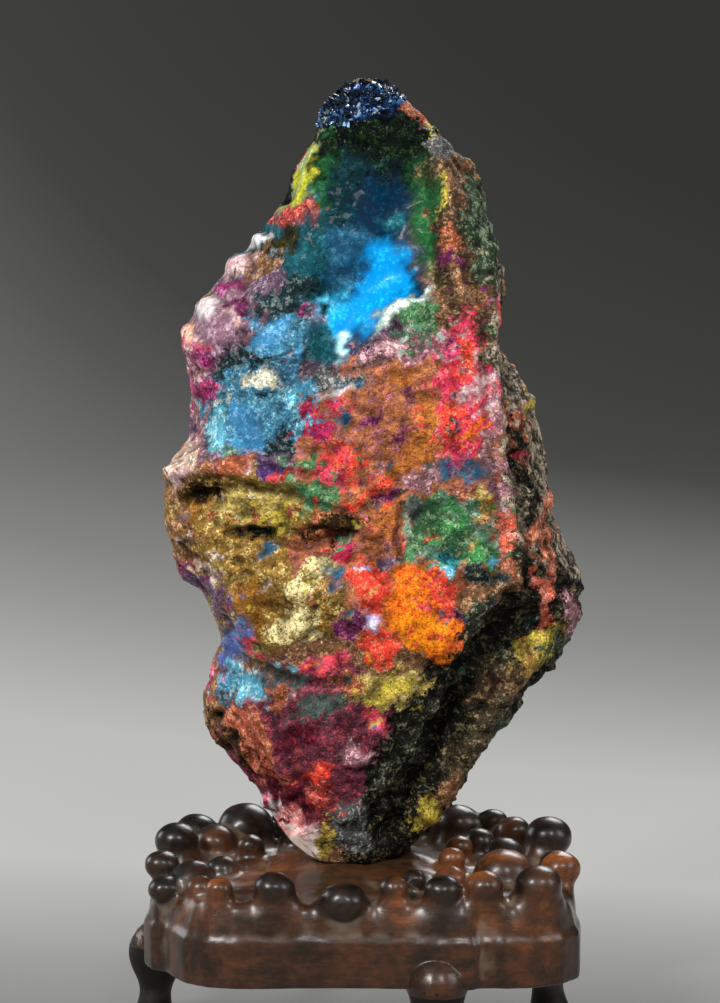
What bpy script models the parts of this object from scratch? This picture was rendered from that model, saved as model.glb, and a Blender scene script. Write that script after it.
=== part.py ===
"""Agate viewing stone on a carved rosewood stand.

Metres, +Z up, the viewer at -Y. The soles of the feet rest on z = 0, under the middle of the object.
The stone is one solid, lofted through its ridge lines, with its lumps, ledges and pits in the same skin.
The stand is carved from one block, with four cabriole feet glued into pockets of its apron.
The design values are millimetres, with x and y measured from the middle of the socket.
"""

import math

import bmesh
import bpy
import numpy as np
from mathutils import Matrix, Vector, noise

MM = 0.001
OBJECT_NAME = "agate_on_stand"

STONE_BASE = 34.8
STONE_TOP = 191.0
STONE_RINGS = 47
EDGE_CRISPNESS = 0.55
FORM_REACH = 1.6
FORM_FALLOFF = 1.4
RELIEF_STARTS = 40.0
RELIEF_FULL = 50.0
TIP_RELIEF = 0.35
TIP_LENGTH = 12.0
LUMP_SIZE = 11.0
LUMP_HEIGHT = 1.5
CRAG_SIZE = 15.0
CRAG_HEIGHT = 0.5
RIB_WIDTH = 3.6
RIB_LENGTH = 16.0
RIB_HEIGHT = 1.6

APRON_BOTTOM = 15.3
APRON_TOP = 25.4
APRON_STOCK = 2.0
APRON_ROUNDING = 0.7
DECK_TOP = 32.4
DECK_ROUNDING = 1.8
SKIRT_INSET = 2.2
SOCKET_TOP = 37.4
SOCKET_MOUND = (25.0, 23.0)
SOCKET_ROOT = 31.0
SEAT_GAP = 0.35
SEAT_DEPTH = 12.0
FUSE_VOXEL = 0.9
SOFTENING = 5
STAND_KEEP = 0.0445
FOOT_SIDES = 12

# Each ridge line of the stone runs from its base to its tip, as (z, x, y).
LEFT_EDGE = (
    (34.8, -10.5, -1), (38.0, -14.0, -2), (44.9, -18.6, -2), (54.8, -24.6, -1), (59.7, -29.4, 0),
    (64.6, -32.0, 0), (69.5, -31.4, 0), (74.4, -30.0, 0), (79.3, -27.2, 0), (86.6, -29.9, -1),
    (91.5, -35.6, -2), (101.2, -38.6, -3), (108.4, -39.6, -4), (115.7, -38.0, -4), (120.5, -34.0, -2),
    (130.1, -33.4, -2), (139.7, -35.8, -2), (144.5, -33.8, -1), (149.2, -29.0, 0), (154.0, -25.8, 0),
    (158.8, -20.8, 0), (163.5, -17.4, 0), (173.0, -13.6, 0), (182.4, -9.6, 2), (187.2, -6.6, 2),
    (191.0, -0.6, 2),
)
FRONT_LEFT = (
    (34.8, -7.5, -8), (42.0, -11.5, -11), (50.0, -13.5, -13), (60.0, -16.5, -15), (70.0, -22.0, -15),
    (80.0, -21.5, -15), (90.0, -26.5, -17), (100.0, -30.0, -18), (110.0, -31.5, -18), (120.0, -26.5, -16),
    (130.0, -25.5, -15), (140.0, -27.5, -15), (148.0, -21.5, -15), (158.0, -14.5, -13), (168.0, -10.0, -11),
    (178.0, -8.0, -8), (186.0, -4.8, -4), (191.0, 0.0, 1),
)
FRONT = (
    (34.8, -2.0, -10), (45.0, -5.0, -15), (60.0, -6.0, -19), (75.0, -4.0, -22), (90.0, -1.0, -23),
    (110.0, -1.0, -22), (130.0, -2.0, -21), (150.0, 3.0, -18), (165.0, 5.0, -15), (178.0, 4.0, -10),
    (186.0, 2.5, -5), (191.0, 1.2, 0.6),
)
FRONT_RIGHT = (
    (34.8, 1.5, -10), (41.4, -2.0, -13.5), (51.2, 2.2, -17), (66.8, 8.4, -19.5), (78.4, 18.6, -20.5),
    (88.0, 28.2, -20), (94.0, 30.0, -19.5), (109.6, 29.0, -19), (129.0, 27.2, -18), (148.6, 25.6, -15),
    (168.0, 19.6, -11), (180.0, 13.0, -6), (187.0, 7.0, -2.5), (191.0, 2.2, 1),
)
SIDE_RIB = (
    (34.8, 6.5, -6), (42.3, 12.6, -9), (49.2, 16.6, -10.5), (61.0, 22.8, -11), (70.9, 29.8, -11),
    (80.8, 38.0, -10), (88.7, 41.2, -9), (96.0, 38.6, -8), (108.4, 36.0, -7), (124.0, 33.2, -7),
    (142.0, 27.6, -6), (158.0, 25.6, -4), (170.0, 20.6, -3), (182.0, 13.6, 0), (191.0, 2.6, 1.6),
)
RIGHT_EDGE = (
    (34.8, 9.0, 1), (39.2, 13.0, 2), (44.5, 17.0, 3), (52.0, 21.8, 4), (57.9, 26.4, 4), (62.7, 31.2, 5),
    (68.8, 34.4, 5), (73.2, 39.6, 5), (79.7, 42.8, 5), (84.4, 44.6, 5), (90.7, 43.2, 5), (95.8, 40.8, 5),
    (103.0, 39.2, 5), (111.7, 38.0, 5), (119.5, 37.4, 5), (126.4, 34.2, 5), (132.4, 30.4, 5),
    (140.3, 27.8, 5), (148.5, 27.4, 5), (153.7, 27.8, 5), (163.5, 25.0, 5), (173.0, 21.2, 4),
    (182.4, 14.6, 4), (187.2, 8.8, 4), (191.0, 3.4, 3),
)
BACK_RIGHT = (
    (34.8, 7.0, 9), (45.0, 13.0, 14), (60.0, 21.0, 19), (75.0, 29.0, 21), (90.0, 31.0, 23),
    (110.0, 28.0, 24), (130.0, 23.0, 22), (150.0, 19.0, 19), (165.0, 15.5, 16), (178.0, 10.0, 12),
    (186.0, 5.0, 7.5), (191.0, 2.4, 3.8),
)
BACK = (
    (34.8, -2.0, 12), (45.0, -1.0, 17), (60.0, 0.0, 22), (75.0, 2.0, 25), (90.0, 3.0, 26.5),
    (110.0, 1.0, 26.5), (130.0, 0.0, 25), (150.0, 2.0, 21.5), (165.0, 3.0, 17.5), (178.0, 2.0, 12.5),
    (186.0, 1.5, 8), (191.0, 1.2, 4),
)
BACK_LEFT = (
    (34.8, -8.5, 8), (45.0, -14.0, 12), (60.0, -22.0, 16), (75.0, -20.0, 18), (90.0, -27.0, 19),
    (110.0, -28.0, 19), (130.0, -24.0, 17), (150.0, -18.0, 15), (160.0, -13.0, 13), (170.0, -9.5, 11),
    (180.0, -6.5, 8.5), (187.0, -3.5, 6), (191.0, 0.0, 3.4),
)
# The ridge lines in order round the stone, each with the number of steps to the next one.
RIDGES = (
    (LEFT_EDGE, 5), (FRONT_LEFT, 8), (FRONT, 9), (FRONT_RIGHT, 5), (SIDE_RIB, 5),
    (RIGHT_EDGE, 7), (BACK_RIGHT, 7), (BACK, 7), (BACK_LEFT, 7),
)

# Lumps and hollows of the skin: (x, y, z) of both ends, radius, height out of the skin.
FORMS = {
    "hollow under the cap": ((-2, -10, 178), (6, -10, 177), 5.5, -1.8),
    "alcove of the blue pool": ((6, -15, 166), (5, -17, 154), 9.0, -5.0),
    "foot of the blue pool": ((-1, -19, 147), (3, -18, 150), 7.0, -2.6),
    "pale lip of the pool": ((8, -18, 148), (14, -17, 149), 3.8, 2.6),
    "left wall of the pool": ((-9, -14, 168), (-10, -16, 157), 4.5, 1.5),
    "dent in the left shoulder": ((-17, -14, 155), (-17, -14, 155), 5.0, -1.3),
    "left bulge": ((-31, -11, 146), (-31, -11, 138), 6.5, 2.0),
    "pale blue dome": ((-18, -17, 142), (-17, -18, 139), 6.0, 2.4),
    "cream nodule": ((-19, -17, 133), (-19, -17, 133), 3.6, 1.6),
    "gold ledge": ((-36, -14, 117), (-12, -19, 115), 4.4, 3.2),
    "pit under the ledge": ((-31, -17, 109), (-29, -18, 108), 4.2, -3.2),
    "long pit": ((-22, -19, 104), (-14, -20, 103), 3.8, -3.4),
    "dark cleft": ((-9, -22, 101), (3, -22, 100), 4.4, -2.6),
    "cream lump": ((-12, -21, 93), (-10, -21, 91), 5.2, 3.0),
    "lower cream lump": ((-16, -19, 83), (-13, -20, 82), 5.0, 3.0),
    "amber lump": ((-24, -16, 90), (-23, -16, 86), 4.6, 1.2),
    "purple shelf": ((-34, -9, 98), (-30, -10, 94), 5.0, -1.6),
    "brown boss": ((3, -22, 126), (12, -20, 122), 8.0, 0.9),
    "crimson rib": ((23, -17, 147), (24, -18, 122), 4.5, 1.0),
    "green hollow": ((13, -21, 106), (22, -20, 100), 7.0, -2.2),
    "orange boss": ((2, -23, 90), (14, -22, 84), 7.5, 2.0),
    "blue hollow": ((-25, -13, 75), (-20, -15, 74), 4.6, -2.4),
    "maroon boss": ((-6, -20, 66), (-3, -19, 55), 7.0, 1.2),
    "black channel": ((30, -15, 84), (2, -13, 46), 5.5, -4.0),
    "side hollow": ((33, 0, 136), (37, 0, 104), 4.0, -1.0),
    "side knuckle": ((44, -2, 88), (41, 0, 92), 5.0, 1.2),
    "back hollow": ((6, 24, 128), (2, 26, 108), 9.0, -2.2),
    "back ledge": ((-22, 20, 96), (18, 24, 92), 5.0, 2.0),
    "back pit": ((-12, 20, 76), (-6, 22, 74), 5.0, -2.0),
    "back shoulder": ((-6, 14, 158), (10, 16, 156), 5.0, 1.4),
    "back cleft": ((18, 20, 118), (24, 16, 84), 4.0, -1.8),
}

# The apron's outline, seen from above, starting at the left and running by the front.
APRON = (
    (-42.2, -6), (-43.0, -8.5), (-43.0, -14), (-41.4, -18), (-38.4, -20), (-37.2, -23.5), (-34.5, -28.5),
    (-30, -32), (-24, -33.4), (-14, -33.0), (-4, -32.6), (8, -33.2), (18, -34.4), (22.2, -34.2),
    (23.4, -31.8), (26.4, -31.6), (28.0, -33.2), (34, -32.4), (39.6, -29.6), (43.2, -24.6), (43.8, -16),
    (43.4, -7), (41.6, -4), (41.4, 4), (41.8, 10), (43.6, 13), (43.8, 22), (41.4, 28.6), (36.0, 32.4),
    (29.0, 34), (26.4, 32.4), (23.0, 32.6), (20.8, 34.6), (10, 34.8), (0, 34), (-12, 34.6), (-22, 35),
    (-25.4, 34.4), (-26.6, 32.4), (-29.8, 32.4), (-32, 33.4), (-37.6, 31.0), (-41.6, 26), (-43.2, 18),
    (-42.8, 9), (-41.8, 5.6), (-41.6, -2),
)

# Carved knobs of the rim and the deck: x, y, height of the top, radius.
KNOBS = (
    (-27.2, -27.6, 36.4, 2.8), (-16.6, -28.2, 37.6, 4.5), (-3.2, -29.0, 35.6, 5.0), (6.6, -28.0, 36.8, 3.2),
    (10.4, -23.6, 37.0, 2.6), (16.0, -29.0, 37.0, 3.9), (24.4, -28.0, 37.8, 4.0), (34.4, -26.0, 38.4, 5.0),
    (-38.4, -17.4, 34.4, 3.4), (-39.6, -6.0, 37.0, 3.4), (-37.6, 7.6, 39.8, 4.4), (-32.8, -14.4, 36.8, 4.6),
    (-31.0, -21.8, 35.4, 3.2), (-24.0, 23.0, 40.6, 4.8), (-29.4, 16.6, 37.6, 4.2), (-38.4, 18.6, 36.8, 3.8),
    (-34.4, 27.0, 37.6, 4.0), (-26.6, 29.6, 36.4, 3.2), (40.0, -11.0, 37.8, 4.0), (39.4, -2.2, 36.2, 3.2),
    (39.2, 12.6, 39.8, 4.0), (32.0, 21.0, 38.2, 3.4), (38.2, 24.2, 36.8, 3.6), (27.2, 26.2, 38.6, 3.4),
    (20.8, 27.4, 39.4, 3.9), (30.0, 29.4, 36.2, 2.8), (18.8, -6.4, 37.6, 2.8), (20.2, 4.2, 37.8, 2.8),
    (28.4, -8.4, 37.8, 5.0), (29.0, 5.6, 37.0, 3.8), (17.6, -18.2, 36.4, 3.4), (24.4, 14.8, 37.2, 3.4),
    (-15.0, 28.6, 38.0, 4.2), (-6.0, 29.6, 36.4, 4.4), (2.6, 28.4, 38.6, 3.6), (11.4, 28.8, 37.0, 4.2),
    (-22.4, 10.0, 36.8, 3.0), (-14.0, 20.4, 36.6, 3.0), (7.4, 21.0, 36.8, 3.2), (-27.4, -4.0, 35.4, 3.6),
)
KNOB_TALLNESS = 1.15
KNOB_ROOT_SPREAD = 1.42
KNOB_ROOT_TOP = 35.0
KNOB_ROOT_BOTTOM = 25.6

# Cabriole foot, from the sole up: z, step outwards, half its depth, half its width.
FOOT_STATIONS = (
    (0.0, 1.9, 4.4, 4.6), (1.2, 2.0, 4.7, 4.9), (3.0, 1.7, 4.0, 4.3), (5.4, 1.4, 3.3, 3.6),
    (7.8, 1.2, 3.1, 3.4), (10.2, 1.0, 4.0, 4.3), (12.6, 0.8, 5.5, 5.4), (15.6, 0.7, 6.2, 5.9),
    (18.4, 0.5, 5.6, 5.5), (20.4, 0.3, 4.0, 4.2),
)
FOOT_TOP = 21.7
FOOT_CROWN = (0.2, 2.0, 2.1)
FEET = {
    "foot_left": (-40.2, -2.0, math.pi),
    "foot_front": (15.0, -30.8, -math.pi / 2),
    "foot_right": (37.0, 3.0, 0.0),
    "foot_back": (-6.0, 31.4, math.pi / 2),
}


def new_object(name, mesh, collection):
    obj = bpy.data.objects.new(name, mesh)
    collection.objects.link(obj)
    return obj


def new_collection(name):
    collection = bpy.data.collections.new(name)
    bpy.context.scene.collection.children.link(collection)
    return collection


def mesh_of(bm, name):
    """The bmesh as a new mesh, brought from millimetres to metres."""
    bmesh.ops.scale(bm, vec=(MM, MM, MM), verts=bm.verts)
    mesh = bpy.data.meshes.new(name)
    bm.to_mesh(mesh)
    bm.free()
    return mesh


def material(name, colour, roughness, metallic=0.0):
    made = bpy.data.materials.new(name)
    made.use_nodes = True
    shader = made.node_tree.nodes["Principled BSDF"]
    shader.inputs["Base Color"].default_value = (*colour, 1.0)
    shader.inputs["Roughness"].default_value = roughness
    shader.inputs["Metallic"].default_value = metallic
    made.diffuse_color = (*colour, 1.0)
    return made


def on_line(line, z):
    heights, xs, ys = zip(*line)
    return Vector((float(np.interp(z, heights, xs)), float(np.interp(z, heights, ys))))


def section(z):
    """The stone's outline at one height, between a polygon and a spline through the ridge points."""
    corners = [on_line(line, z) for line, _ in RIDGES]
    points = []
    for i, (_, steps) in enumerate(RIDGES):
        before, start = corners[i - 1], corners[i]
        end, after = corners[(i + 1) % len(corners)], corners[(i + 2) % len(corners)]
        for step in range(steps):
            t = step / steps
            straight = start.lerp(end, t)
            curved = 0.5 * (
                2 * start
                + (end - before) * t
                + (2 * before - 5 * start + 4 * end - after) * t**2
                + (3 * start - 3 * end + after - before) * t**3
            )
            points.append(curved.lerp(straight, EDGE_CRISPNESS))
    return points


def stone_loft(base, top, rings, grow=0.0):
    """Rings of the stone's outline skinned from base to top and closed at both ends."""
    bm = bmesh.new()
    loops = []
    for z in np.linspace(base, top, rings):
        outline = section(max(z, STONE_BASE))
        middle = sum(outline, Vector((0, 0))) / len(outline)
        loops.append([bm.verts.new((*(p + (p - middle).normalized() * grow), z)) for p in outline])
    for lower, upper in zip(loops, loops[1:]):
        for i in range(len(lower)):
            j = (i + 1) % len(lower)
            bm.faces.new((lower[i], lower[j], upper[j], upper[i]))
    for loop, turned in ((loops[0], True), (loops[-1], False)):
        z = loop[0].co.z
        centre = bm.verts.new(sum((v.co for v in loop), Vector()) / len(loop))
        centre.co.z = z
        for i in range(len(loop)):
            pair = (loop[i], loop[(i + 1) % len(loop)])
            bm.faces.new((*(reversed(pair) if turned else pair), centre))
    bm.normal_update()
    return bm


def limited(value, low=0.0, high=1.0):
    return max(low, min(high, value))


def distance_to_run(point, start, end):
    run = end - start
    t = limited((point - start).dot(run) / run.length_squared) if run.length else 0.0
    return (point - start.lerp(end, t)).length


def forms_at(point):
    """How far the named lumps and hollows push the skin out at this point."""
    height = 0.0
    for start, end, radius, rise in FORMS.values():
        near = distance_to_run(point, Vector(start), Vector(end)) / radius
        if near < FORM_REACH:
            height += rise * math.exp(-FORM_FALLOFF * near**2)
    return height


def grain_at(point, normal):
    """Broken stone on the front, upright foliated ribs on the right side and the back."""
    lumps = noise.fractal(point / LUMP_SIZE, 0.9, 2.1, 3)
    crags = noise.ridged_multi_fractal(point / CRAG_SIZE + Vector((7, 3, 5)), 0.9, 2.0, 3, 0.9, 2.0) - 1.0
    ribs = noise.noise(Vector((point.x / RIB_WIDTH, point.y / RIB_WIDTH, point.z / RIB_LENGTH)))
    side = limited((normal.x + 0.6 * normal.y) * 1.6)
    return lumps * LUMP_HEIGHT + crags * CRAG_HEIGHT + side * ribs * RIB_HEIGHT


def make_agate(collection):
    bm = stone_loft(STONE_BASE, STONE_TOP, STONE_RINGS)
    moves = []
    for vert in bm.verts:
        fade = limited((vert.co.z - RELIEF_STARTS) / (RELIEF_FULL - RELIEF_STARTS))
        tip = limited((STONE_TOP - vert.co.z) / TIP_LENGTH, TIP_RELIEF)
        rise = forms_at(vert.co) + grain_at(vert.co, vert.normal) * tip
        moves.append(vert.normal * rise * fade)
    for vert, move in zip(bm.verts, moves):
        vert.co += move
        vert.co.z = min(vert.co.z, STONE_TOP)
    agate = new_object("agate", mesh_of(bm, "agate"), collection)
    agate.data.materials.append(material("agate_stone", (0.30, 0.20, 0.17), 0.42))
    return agate


def ellipsoid(bm, centre, radii, segments=20, rings=12):
    made = bmesh.ops.create_uvsphere(bm, u_segments=segments, v_segments=rings, radius=1.0)["verts"]
    bmesh.ops.scale(bm, vec=radii, verts=made)
    bmesh.ops.translate(bm, vec=centre, verts=made)


def slab(bm, outline, bottom, top):
    """A flat outline raised from bottom to top."""
    face = bm.faces.new([bm.verts.new((x, y, bottom)) for x, y in outline])
    face.normal_update()
    if face.normal.z > 0:
        face.normal_flip()
    raised = bmesh.ops.extrude_face_region(bm, geom=[face])["geom"]
    lid = [v for v in raised if isinstance(v, bmesh.types.BMVert)]
    bmesh.ops.translate(bm, vec=(0, 0, top - bottom), verts=lid)


def inset(outline, distance):
    """The outline drawn in towards the middle of the stand by a distance."""
    return [tuple(Vector(p) - Vector(p).normalized() * distance) for p in outline]


def stand_forms():
    """The carved forms of the stand, overlapping, before they are fused."""
    bm = bmesh.new()
    slab(bm, APRON, APRON_BOTTOM - APRON_STOCK, APRON_TOP - APRON_ROUNDING)
    slab(bm, inset(APRON, APRON_ROUNDING), APRON_BOTTOM - APRON_STOCK, APRON_TOP)
    slab(bm, inset(APRON, SKIRT_INSET), APRON_BOTTOM, DECK_TOP - DECK_ROUNDING)
    slab(bm, inset(APRON, SKIRT_INSET + DECK_ROUNDING), APRON_BOTTOM, DECK_TOP)
    ellipsoid(bm, (0, 0, SOCKET_ROOT), (*SOCKET_MOUND, SOCKET_TOP - SOCKET_ROOT), 32, 16)
    for x, y, top, radius in KNOBS:
        tall = radius * KNOB_TALLNESS
        ellipsoid(bm, (x, y, top - tall), (radius, radius, tall))
        root = (KNOB_ROOT_TOP + KNOB_ROOT_BOTTOM) / 2
        spread = radius * KNOB_ROOT_SPREAD
        ellipsoid(bm, (x, y, root), (spread, spread, KNOB_ROOT_TOP - root))
    return bm


def foot_mesh(bm, grow=0.0):
    """A cabriole foot that steps out along +X, drawn up ring by ring from its sole."""
    lowest = FOOT_STATIONS[0]
    ring = bmesh.ops.create_circle(bm, cap_ends=True, radius=1.0, segments=FOOT_SIDES)["verts"]
    for vert in ring:
        across = vert.co.x * (lowest[2] + grow) + lowest[1]
        vert.co = (across, vert.co.y * (lowest[3] + grow), lowest[0] - grow)
    face = bm.faces[:][-1]
    face.normal_update()
    below = lowest
    for station in (*FOOT_STATIONS[1:], (FOOT_TOP + grow, *FOOT_CROWN)):
        made = bmesh.ops.extrude_face_region(bm, geom=[face])["geom"]
        if below is not lowest:
            bmesh.ops.delete(bm, geom=[face], context="FACES_ONLY")
        face = next(g for g in made if isinstance(g, bmesh.types.BMFace))
        for vert in face.verts:
            across = (vert.co.x - below[1]) / (below[2] + grow)
            along = vert.co.y / (below[3] + grow)
            vert.co = (across * (station[2] + grow) + station[1], along * (station[3] + grow), station[0])
        below = station
    bmesh.ops.recalc_face_normals(bm, faces=bm.faces)


def foot_place(spot):
    x, y, turn = spot
    return Matrix.Translation((x * MM, y * MM, 0)) @ Matrix.Rotation(turn, 4, "Z")


def make_foot(name, spot, collection, look):
    bm = bmesh.new()
    foot_mesh(bm)
    foot = new_object(name, mesh_of(bm, name), collection)
    foot.matrix_local = foot_place(spot)
    foot.data.materials.append(look)
    return foot


def cutter(name, bm, collection):
    made = new_object(name, mesh_of(bm, name), collection)
    made.hide_render = True
    made.display_type = "WIRE"
    return made


def make_cutters(collection):
    """The seat of the stone, the pockets of the feet and the flat underside."""
    seat = stone_loft(STONE_BASE - SEAT_GAP, STONE_BASE + SEAT_DEPTH, 5, SEAT_GAP)
    cutters = [cutter("seat_cutter", seat, collection)]
    for name, spot in FEET.items():
        bm = bmesh.new()
        foot_mesh(bm, SEAT_GAP)
        pocket = cutter(f"{name}_pocket", bm, collection)
        pocket.matrix_local = foot_place(spot)
        cutters.append(pocket)
    bm = bmesh.new()
    bmesh.ops.create_cube(bm, size=1.0)
    bmesh.ops.scale(bm, vec=(120, 120, 10), verts=bm.verts)
    bmesh.ops.translate(bm, vec=(0, 0, APRON_BOTTOM - 5), verts=bm.verts)
    cutters.insert(0, cutter("underside_cutter", bm, collection))
    return cutters


def make_stand(collection, cutters, look):
    stand = new_object("stand", mesh_of(stand_forms(), "stand"), collection)
    stand.data.materials.append(look)
    fuse = stand.modifiers.new("fuse", "REMESH")
    fuse.mode = "VOXEL"
    fuse.voxel_size = FUSE_VOXEL * MM
    soften = stand.modifiers.new("soften", "SMOOTH")
    soften.factor = 0.5
    soften.iterations = SOFTENING
    thin = stand.modifiers.new("thin", "DECIMATE")
    thin.ratio = STAND_KEEP
    for tool in cutters:
        cut = stand.modifiers.new(tool.name, "BOOLEAN")
        cut.operation = "DIFFERENCE"
        cut.solver = "EXACT"
        cut.object = tool
    return stand


def centre_footprint(root, pieces):
    """Moves the root so that the middle of the object's box stands over the origin."""
    bpy.context.view_layer.update()
    graph = bpy.context.evaluated_depsgraph_get()
    corners = []
    for piece in pieces:
        corners += [piece.matrix_world @ Vector(c) for c in piece.evaluated_get(graph).bound_box]
    for axis in (0, 1):
        values = [corner[axis] for corner in corners]
        root.location[axis] = -(min(values) + max(values)) / 2


def main():
    for obj in list(bpy.data.objects):
        bpy.data.objects.remove(obj)
    parts = new_collection(OBJECT_NAME)
    tools = new_collection("cutters")
    rosewood = material("rosewood", (0.085, 0.030, 0.016), 0.32)
    cutters = make_cutters(tools)
    pieces = [make_agate(parts), make_stand(parts, cutters, rosewood)]
    pieces += [make_foot(name, spot, parts, rosewood) for name, spot in FEET.items()]
    root = new_object("root_empty", None, parts)
    for piece in (*pieces, *cutters):
        piece.parent = root
    centre_footprint(root, pieces)


main()
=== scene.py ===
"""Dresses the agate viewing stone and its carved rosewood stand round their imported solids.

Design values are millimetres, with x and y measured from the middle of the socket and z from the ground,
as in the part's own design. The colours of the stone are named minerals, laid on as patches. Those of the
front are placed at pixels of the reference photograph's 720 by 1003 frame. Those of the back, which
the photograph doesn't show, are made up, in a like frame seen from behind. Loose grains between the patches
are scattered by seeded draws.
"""

import math

import bmesh
import bpy
import numpy as np
from mathutils import Matrix, Vector, noise
from mathutils.bvhtree import BVHTree


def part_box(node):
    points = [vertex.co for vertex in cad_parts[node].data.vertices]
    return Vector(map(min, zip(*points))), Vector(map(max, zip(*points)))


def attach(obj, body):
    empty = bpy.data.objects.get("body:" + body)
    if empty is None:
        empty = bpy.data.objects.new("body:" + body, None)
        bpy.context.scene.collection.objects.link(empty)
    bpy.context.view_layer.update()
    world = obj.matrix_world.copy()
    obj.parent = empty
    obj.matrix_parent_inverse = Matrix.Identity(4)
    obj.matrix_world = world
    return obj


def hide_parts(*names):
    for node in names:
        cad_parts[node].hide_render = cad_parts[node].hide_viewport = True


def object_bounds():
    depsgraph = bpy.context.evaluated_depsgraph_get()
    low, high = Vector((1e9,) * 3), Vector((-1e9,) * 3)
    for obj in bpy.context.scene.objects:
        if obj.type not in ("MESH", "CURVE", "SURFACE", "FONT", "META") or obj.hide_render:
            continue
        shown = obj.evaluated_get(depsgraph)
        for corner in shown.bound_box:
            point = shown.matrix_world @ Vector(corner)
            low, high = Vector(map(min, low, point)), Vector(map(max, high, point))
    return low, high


bl_info = {
    "name": "Agate on Stand",
    "version": (1, 0, 0),
    "blender": (4, 5, 0),
    "location": "3D View > Sidebar > Agate",
    "description": "Dresses a many-coloured agate and its carved rosewood stand",
    "category": "Object",
}

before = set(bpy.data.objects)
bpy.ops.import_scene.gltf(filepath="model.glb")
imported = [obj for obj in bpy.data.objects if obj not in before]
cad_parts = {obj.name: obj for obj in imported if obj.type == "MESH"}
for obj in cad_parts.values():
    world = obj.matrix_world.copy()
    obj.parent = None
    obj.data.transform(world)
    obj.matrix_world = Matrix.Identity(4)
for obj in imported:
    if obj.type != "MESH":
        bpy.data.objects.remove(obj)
cad_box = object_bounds()

MM = 0.001
BODY = "root"
FEET = {
    "foot_left": (-40.2, -2.0, math.pi),
    "foot_front": (15.0, -30.8, -math.pi / 2),
    "foot_right": (37.0, 3.0, 0.0),
    "foot_back": (-6.0, 31.4, math.pi / 2),
}
# Cabriole foot, from the sole up: z, step outwards, half its depth, half its width.
FOOT_STATIONS = (
    (0.0, 1.9, 4.4, 4.6), (1.2, 2.0, 4.7, 4.9), (3.0, 1.7, 4.0, 4.3), (5.4, 1.4, 3.3, 3.6),
    (7.8, 1.2, 3.1, 3.4), (10.2, 1.0, 4.0, 4.3), (12.6, 0.8, 5.5, 5.4), (15.6, 0.7, 6.2, 5.9),
    (18.4, 0.5, 5.6, 5.5), (20.4, 0.3, 4.0, 4.2), (21.5, 0.2, 2.0, 2.1),
)

# The socket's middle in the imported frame, found from the middles of two feet.
OFFSET_X = sum(corner.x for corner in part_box("foot_front")) / 2 / MM - FEET["foot_front"][0]
OFFSET_Y = sum(corner.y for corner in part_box("foot_left")) / 2 / MM - FEET["foot_left"][1]
OFFSET = np.array((OFFSET_X, OFFSET_Y, 0.0))

# The apron's outline, seen from above, starting at the left and running by the front.
APRON = (
    (-42.2, -6), (-43.0, -8.5), (-43.0, -14), (-41.4, -18), (-38.4, -20), (-37.2, -23.5), (-34.5, -28.5),
    (-30, -32), (-24, -33.4), (-14, -33.0), (-4, -32.6), (8, -33.2), (18, -34.4), (22.2, -34.2),
    (23.4, -32.8), (26.4, -32.6), (28.0, -33.2), (34, -32.4), (39.6, -29.6), (43.2, -24.6), (43.8, -16),
    (43.4, -7), (41.6, -4), (41.4, 4), (41.8, 10), (43.6, 13), (43.8, 22), (41.4, 28.6), (36.0, 32.4),
    (29.0, 34), (26.4, 32.4), (23.0, 32.6), (20.8, 34.6), (10, 34.8), (0, 34), (-12, 34.6), (-22, 35),
    (-25.4, 34.4), (-26.6, 32.4), (-29.8, 32.4), (-32, 33.4), (-37.6, 31.0), (-41.6, 26), (-43.2, 18),
    (-42.8, 9), (-41.8, 5.6), (-41.6, -2),
)
# Half the width and half the depth of the apron.
APRON_REACH = (43.8, 35.0)
APRON_BOTTOM = 15.3
APRON_TOP = 25.4
DECK_TOP = 32.4
SOCKET_TOP = 37.4
# The step between the apron's band and the carving on it.
BAND_STEP = 0.7
# Half the width and half the depth of the grid that the top is carved on, and of the socket's mound.
CARVING_REACH = (44.5, 35.5)
MOUND_REACH = (25.0, 23.0)
# How sharply the carved forms flow together, per millimetre.
FLOW = 0.92
# How far in from the edge the skirt climbs, how steeply, and how far in its rounded wall runs.
SKIRT_RUN = 3.2
SKIRT_POWER = 2.2
WALL_RUN = 1.6
# The knobs' roots: height of the bottom, then spread, steepness and end in radii of the knob.
ROOT_BOTTOM = 27.0
ROOT_SPREAD = 1.20
ROOT_STEEPNESS = 3.8
ROOT_END = 1.6
# How far below a knob's top its root ends, in radii.
ROOT_DROP = 0.30
# The knobs' heads: height over width, how far they lean outwards and how far they stand over the top.
HEAD_FLATNESS = 0.84
HEAD_LEAN = 0.4
HEAD_LIFT = 0.2

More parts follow.
